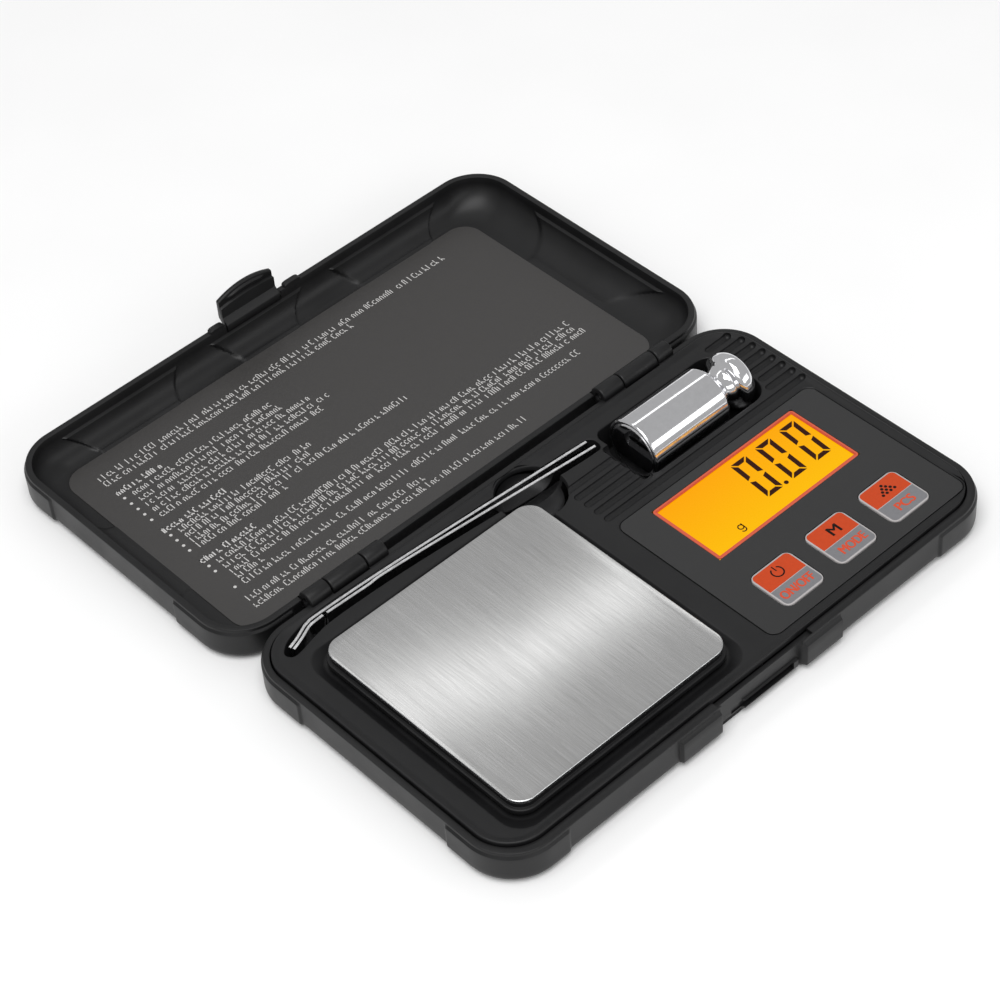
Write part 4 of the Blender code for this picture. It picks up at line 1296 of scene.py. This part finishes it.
def make_leaf(name, path, body, nodes=()):
    """A polished strip on edge with eased long edges. Its lower edge rises towards the end of its path."""
    low, top = TWEEZER_Z
    half_t = TWEEZER_HALF_T
    ease = TWEEZER_EASE
    points = smooth_path(path)
    length = sum((Vector(b) - Vector(a)).length for a, b in zip(points, points[1:]))
    travelled = 0.0
    rings = []
    for i, here in enumerate(points):
        before = Vector(points[max(i - 1, 0)])
        after = Vector(points[min(i + 1, len(points) - 1)])
        if i:
            travelled += (Vector(here) - Vector(points[i - 1])).length
        along = (after - before).normalized()
        foot = top - (top - low) * (1.0 - 0.45 * smoothstep(0.55, 1.0, travelled / length))
        ring = []
        for side, z in (
            *((-half_t, foot + ease), (-half_t, top - ease), (ease - half_t, top), (half_t - ease, top)),
            *((half_t, top - ease), (half_t, foot + ease), (half_t - ease, foot), (ease - half_t, foot)),
        ):
            ring.append((here[0] - along.y * side, here[1] + along.x * side, z))
        rings.append(ring)
    leaf = rings_mesh(name, rings)
    place(leaf, body, tweezer_steel, nodes, 25.0)


make_leaf("tweezer_leaf_back_skin", TWEEZER_BACK, "tweezers", ["tweezer_leaf_back"])
make_leaf("tweezer_leaf_front_skin", TWEEZER_FRONT, "tweezers_front", ["tweezer_leaf_front"])
# The front leaf's share of the bend, which moves with the back leaf
make_leaf("tweezer_joined_end", beside(TWEEZER_BEND, TWEEZER_PITCH), "tweezers")


# Lid label ------------


LABEL_R = 5.7
LABEL_X0 = -61.9
# The label's rows: (centre y, start x, end x, kind)
LABEL_ROWS = (
    (74.1, LABEL_X0, 51.8, "plain"),
    (71.6, LABEL_X0, 17.8, "plain"),
    (67.1, LABEL_X0, -47.4, "head"),
    (64.4, LABEL_X0, -15.4, "step"),
    (61.7, LABEL_X0, -13.5, "step"),
    (59.1, LABEL_X0, -6.9, "step"),
    (56.5, LABEL_X0, -2.9, "step"),
    (53.8, LABEL_X0, -7.9, "step"),
    (48.9, LABEL_X0, -41.6, "head"),
    (46.4, LABEL_X0, -17.7, "step"),
    (44.0, LABEL_X0, -19.3, "step"),
    (41.5, LABEL_X0, 11.5, "step"),
    (39.2, LABEL_X0, -31.6, "step"),
    (34.5, LABEL_X0, -44.4, "head"),
    (31.9, LABEL_X0, 56.2, "step"),
    (29.5, LABEL_X0, 56.8, "step"),
    (27.1, -58.8, 56.4, "plain"),
    (24.8, -58.8, -50.0, "plain"),
    (22.2, LABEL_X0, 50.0, "step"),
    (17.3, -61.7, -6.9, "plain"),
    (14.5, LABEL_X0, 25.0, "plain"),
)
STEP_TEXT_X = -58.9
LETTER_TALL = 2.0
LETTER_SHORT = 1.45


def stroke(x0, y0, x1, y1, width):
    """A straight stroke as a thin four-cornered mark."""
    along = Vector((x1 - x0, y1 - y0)).normalized()
    side = Vector((-along.y, along.x)) * width / 2
    start = [(x0 + side.x, y0 + side.y), (x0 - side.x, y0 - side.y)]
    return start + [(x1 - side.x, y1 - side.y), (x1 + side.x, y1 + side.y)]


def greeked_letter(x, y, w, tall, width):
    """Two or three strokes that stand in for a letter and spell nothing."""
    marks = []
    kind = random.choice(("bar", "bow", "arch", "slant"))
    low, high = y + width / 2, y + tall - width / 2
    marks.append(stroke(x + width / 2, y, x + width / 2, y + tall, width))
    if kind == "bow":
        marks.append(stroke(x, high, x + w, high, width))
        marks.append(stroke(x, low, x + w, low, width))
    elif kind == "arch":
        marks.append(stroke(x, high, x + w, high, width))
        marks.append(stroke(x + w - width / 2, y, x + w - width / 2, y + tall, width))
    elif kind == "slant":
        marks.append(stroke(x, y + tall / 2, x + w, y, width))
    return marks


def greeked_row(centre_y, start_x, end_x, kind):
    """A row of stand-in words. A step row starts with a marker, and its text is set in."""
    marks = []
    width = 0.34 if kind == "head" else 0.24
    base = centre_y - LETTER_TALL / 2
    x = start_x
    if kind == "step":
        marks.append(disc(start_x + 0.6, centre_y, 0.42, 10))
        x = STEP_TEXT_X
    while x < end_x - 0.8:
        for _ in range(random.choice((2, 3, 4, 5, 6, 7, 8))):
            w = random.uniform(0.75, 1.0)
            if x + w > end_x:
                break
            tall = random.choice((LETTER_SHORT, LETTER_SHORT, LETTER_TALL))
            marks += greeked_letter(x, base, w, tall, width)
            x += w + 0.36
        x += 0.75
    return marks


def make_label():
    """The instruction label, with rows of stand-in marks where its words would be."""
    film = flat_piece("lid_label_film", grown_rect(LABEL[:4], 0.0, LABEL_R, 16), LABEL[4], LABEL[5])
    place(film, "lid", label_film, ["lid_label"])
    marks = []
    for row in LABEL_ROWS:
        marks += greeked_row(*row)
    ink = flat_marks("lid_label_marks", marks, LABEL[5] - 0.01, LABEL[5] + 0.02)
    place(ink, "lid", label_ink)


make_label()


# Latch ------------


LATCH_INNER_Y = 89.05
LATCH_TOP = 17.3
LATCH_SECTIONS = 33
# How much lower the tab's top is at the ends of its arch
LATCH_DROP = 1.9
# How far the snap hook reaches in. It runs out before the ends of the arch.
HOOK_REACH = 0.55
# The tab's section in (y, z): its root and outer face, its inner face over the hook, the hook, and the rest
LATCH_OUTER = ((86.75, 7.2), (88.6, 7.2), (88.9, 8.4), (90.2, 9.9), (90.2, LATCH_TOP), (89.3, LATCH_TOP))
LATCH_UPPER = ((LATCH_INNER_Y, 17.0), (LATCH_INNER_Y, 16.5))
HOOK_Z = (16.2, 15.6)
LATCH_LOWER = (
    *((LATCH_INNER_Y, 15.2), (LATCH_INNER_Y, 14.4)),
    *((88.35, 14.2), (88.35, 10.6), (87.0, 9.3), (86.75, 8.8)),
)


def make_latch():
    """The snap tab: an S-shaped section drawn along X, with an arched top edge and rounded corners."""
    rings = []
    middle = (LATCH[0] + LATCH[1]) / 2
    half = (LATCH[1] - LATCH[0]) / 2
    for i in range(LATCH_SECTIONS):
        t = -1.0 + 2.0 * i / (LATCH_SECTIONS - 1)
        hook_y = LATCH_INNER_Y - HOOK_REACH * (1.0 - smoothstep(0.5, 0.75, abs(t)))
        profile = (*LATCH_OUTER, *LATCH_UPPER, *((hook_y, z) for z in HOOK_Z), *LATCH_LOWER)
        drop = LATCH_DROP * t * t
        rings.append([(middle + half * t, y, z - drop * smoothstep(12.0, LATCH_TOP, z)) for y, z in profile])
    latch = rings_mesh("lid_latch_tab", rings)
    soft_edges(latch, 0.12, 2, 35.0)
    place(latch, "latch", latch_black, ["lid_latch"])


make_latch()


# Hidden parts and the underside keep their CAD shape with a better finish ------------

CAD_FINISH = {
    "hinge_pin_left": pin_steel,
    "hinge_pin_right": pin_steel,
    "battery_cover": cover_black,
    "circuit_board": board_green,
    "backlight": guide_white,
    "load_cell": beam_aluminium,
    "load_cell_spacer": beam_aluminium,
    "coin_cell_1": cell_steel,
    "coin_cell_2": cell_steel,
    "battery_contact_1": contact_brass,
    "battery_contact_2": contact_brass,
}
for screw in CASE_SCREWS + CELL_SCREWS:
    CAD_FINISH[screw] = screw_steel
for key in KEY_NAMES:
    CAD_FINISH["dome_switch_" + key] = cell_steel
for node_name, finish in CAD_FINISH.items():
    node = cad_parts[node_name]
    for slot in node.material_slots:
        slot.material = finish
    shade(node)


# Floor, light and camera ------------


# The floor lies just under the feet, so that the two surfaces do not coincide
FLOOR_GAP = 0.1


def make_floor():
    bm = bmesh.new()
    bmesh.ops.create_grid(bm, x_segments=1, y_segments=1, size=3.0)
    floor = new_object("floor", bm)
    floor.location.z = -FLOOR_GAP * MM
    m = Nodes("floor_white")
    faint = m.spread(m.noise(m.coords(), 0.02, 2.0), 0.0, 1.0)
    m.set(Base_Color=m.mix(faint, (0.89, 0.89, 0.89), (0.91, 0.91, 0.91)), Roughness=0.6)
    floor.data.materials.append(m.mat)


def area_light(name, position, target, size, power):
    data = bpy.data.lights.new(name, "AREA")
    data.shape = "RECTANGLE"
    data.size, data.size_y = size
    data.energy = power
    light = bpy.data.objects.new(name, data)
    bpy.context.scene.collection.objects.link(light)
    light.location = position
    direction = Vector(target) - Vector(position)
    light.rotation_mode = "QUATERNION"
    light.rotation_quaternion = direction.to_track_quat("-Z", "Y")
    return light


def lay_along_x(light, target):
    """Turns a light so that its long side runs along X and it faces the line along X through target."""
    back = Vector((0.0, light.location.y - target[1], light.location.z - target[2])).normalized()
    along = Vector((1.0, 0.0, 0.0))
    rotation = Matrix((along, back.cross(along), back)).transposed()
    light.rotation_quaternion = rotation.to_quaternion()


WORLD_STRENGTH = 0.45
EXPOSURE = 0.0


def make_world():
    world = bpy.data.worlds.new("studio")
    world.use_nodes = True
    background = world.node_tree.nodes["Background"]
    background.inputs["Color"].default_value = (1.0, 1.0, 1.0, 1.0)
    background.inputs["Strength"].default_value = WORLD_STRENGTH
    bpy.context.scene.world = world


# The camera: angles in degrees, lengths in millimetres
CAMERA_AZIMUTH = -39.40
CAMERA_ELEVATION = 45.16
CAMERA_ROLL = -5.09
CAMERA_TARGET = (1.31, -1.11, 0.0)
CAMERA_DISTANCE = 672.5
CAMERA_LENS = 101.6


def make_camera():
    azimuth = math.radians(CAMERA_AZIMUTH)
    elevation = math.radians(CAMERA_ELEVATION)
    roll = math.radians(CAMERA_ROLL)
    level = math.cos(elevation)
    back = Vector((math.sin(azimuth) * level, -math.cos(azimuth) * level, math.sin(elevation)))
    right = Vector((0.0, 0.0, 1.0)).cross(back).normalized()
    up = back.cross(right)
    right_rolled = right * math.cos(roll) + up * math.sin(roll)
    up_rolled = up * math.cos(roll) - right * math.sin(roll)
    data = bpy.data.cameras.new("camera")
    data.lens = CAMERA_LENS
    data.sensor_width = 36.0
    data.clip_start = 0.01
    data.clip_end = 20.0
    camera = bpy.data.objects.new("camera", data)
    bpy.context.scene.collection.objects.link(camera)
    rotation = Matrix((right_rolled, up_rolled, back)).transposed()
    camera.rotation_mode = "QUATERNION"
    camera.rotation_quaternion = rotation.to_quaternion()
    camera.location = (Vector(CAMERA_TARGET) + back * CAMERA_DISTANCE) * MM
    bpy.context.scene.camera = camera


# Lights, in metres and watts: a long softbox whose image runs across the steel plate, an overhead key,
# a weak fill and a low front light
PLATE_MIDDLE = (-0.034, -0.048, 0.012)
ORIGIN = (0.0, 0.0, 0.0)


def make_lights():
    strip = area_light("strip", (0.42, 0.494, 0.80), PLATE_MIDDLE, (1.8, 0.11), 0.8)
    lay_along_x(strip, PLATE_MIDDLE)
    area_light("overhead", (-0.35, -0.25, 1.3), ORIGIN, (1.0, 1.0), 13.0)
    area_light("fill", (-0.9, -0.4, 0.7), ORIGIN, (0.6, 0.6), 1.0)
    area_light("front", (0.2, -0.95, 0.42), ORIGIN, (1.6, 0.3), 2.4)


make_floor()
make_world()
make_lights()
make_camera()
bpy.context.scene.view_settings.view_transform = "Standard"
bpy.context.scene.view_settings.exposure = EXPOSURE

bpy.context.view_layer.update()
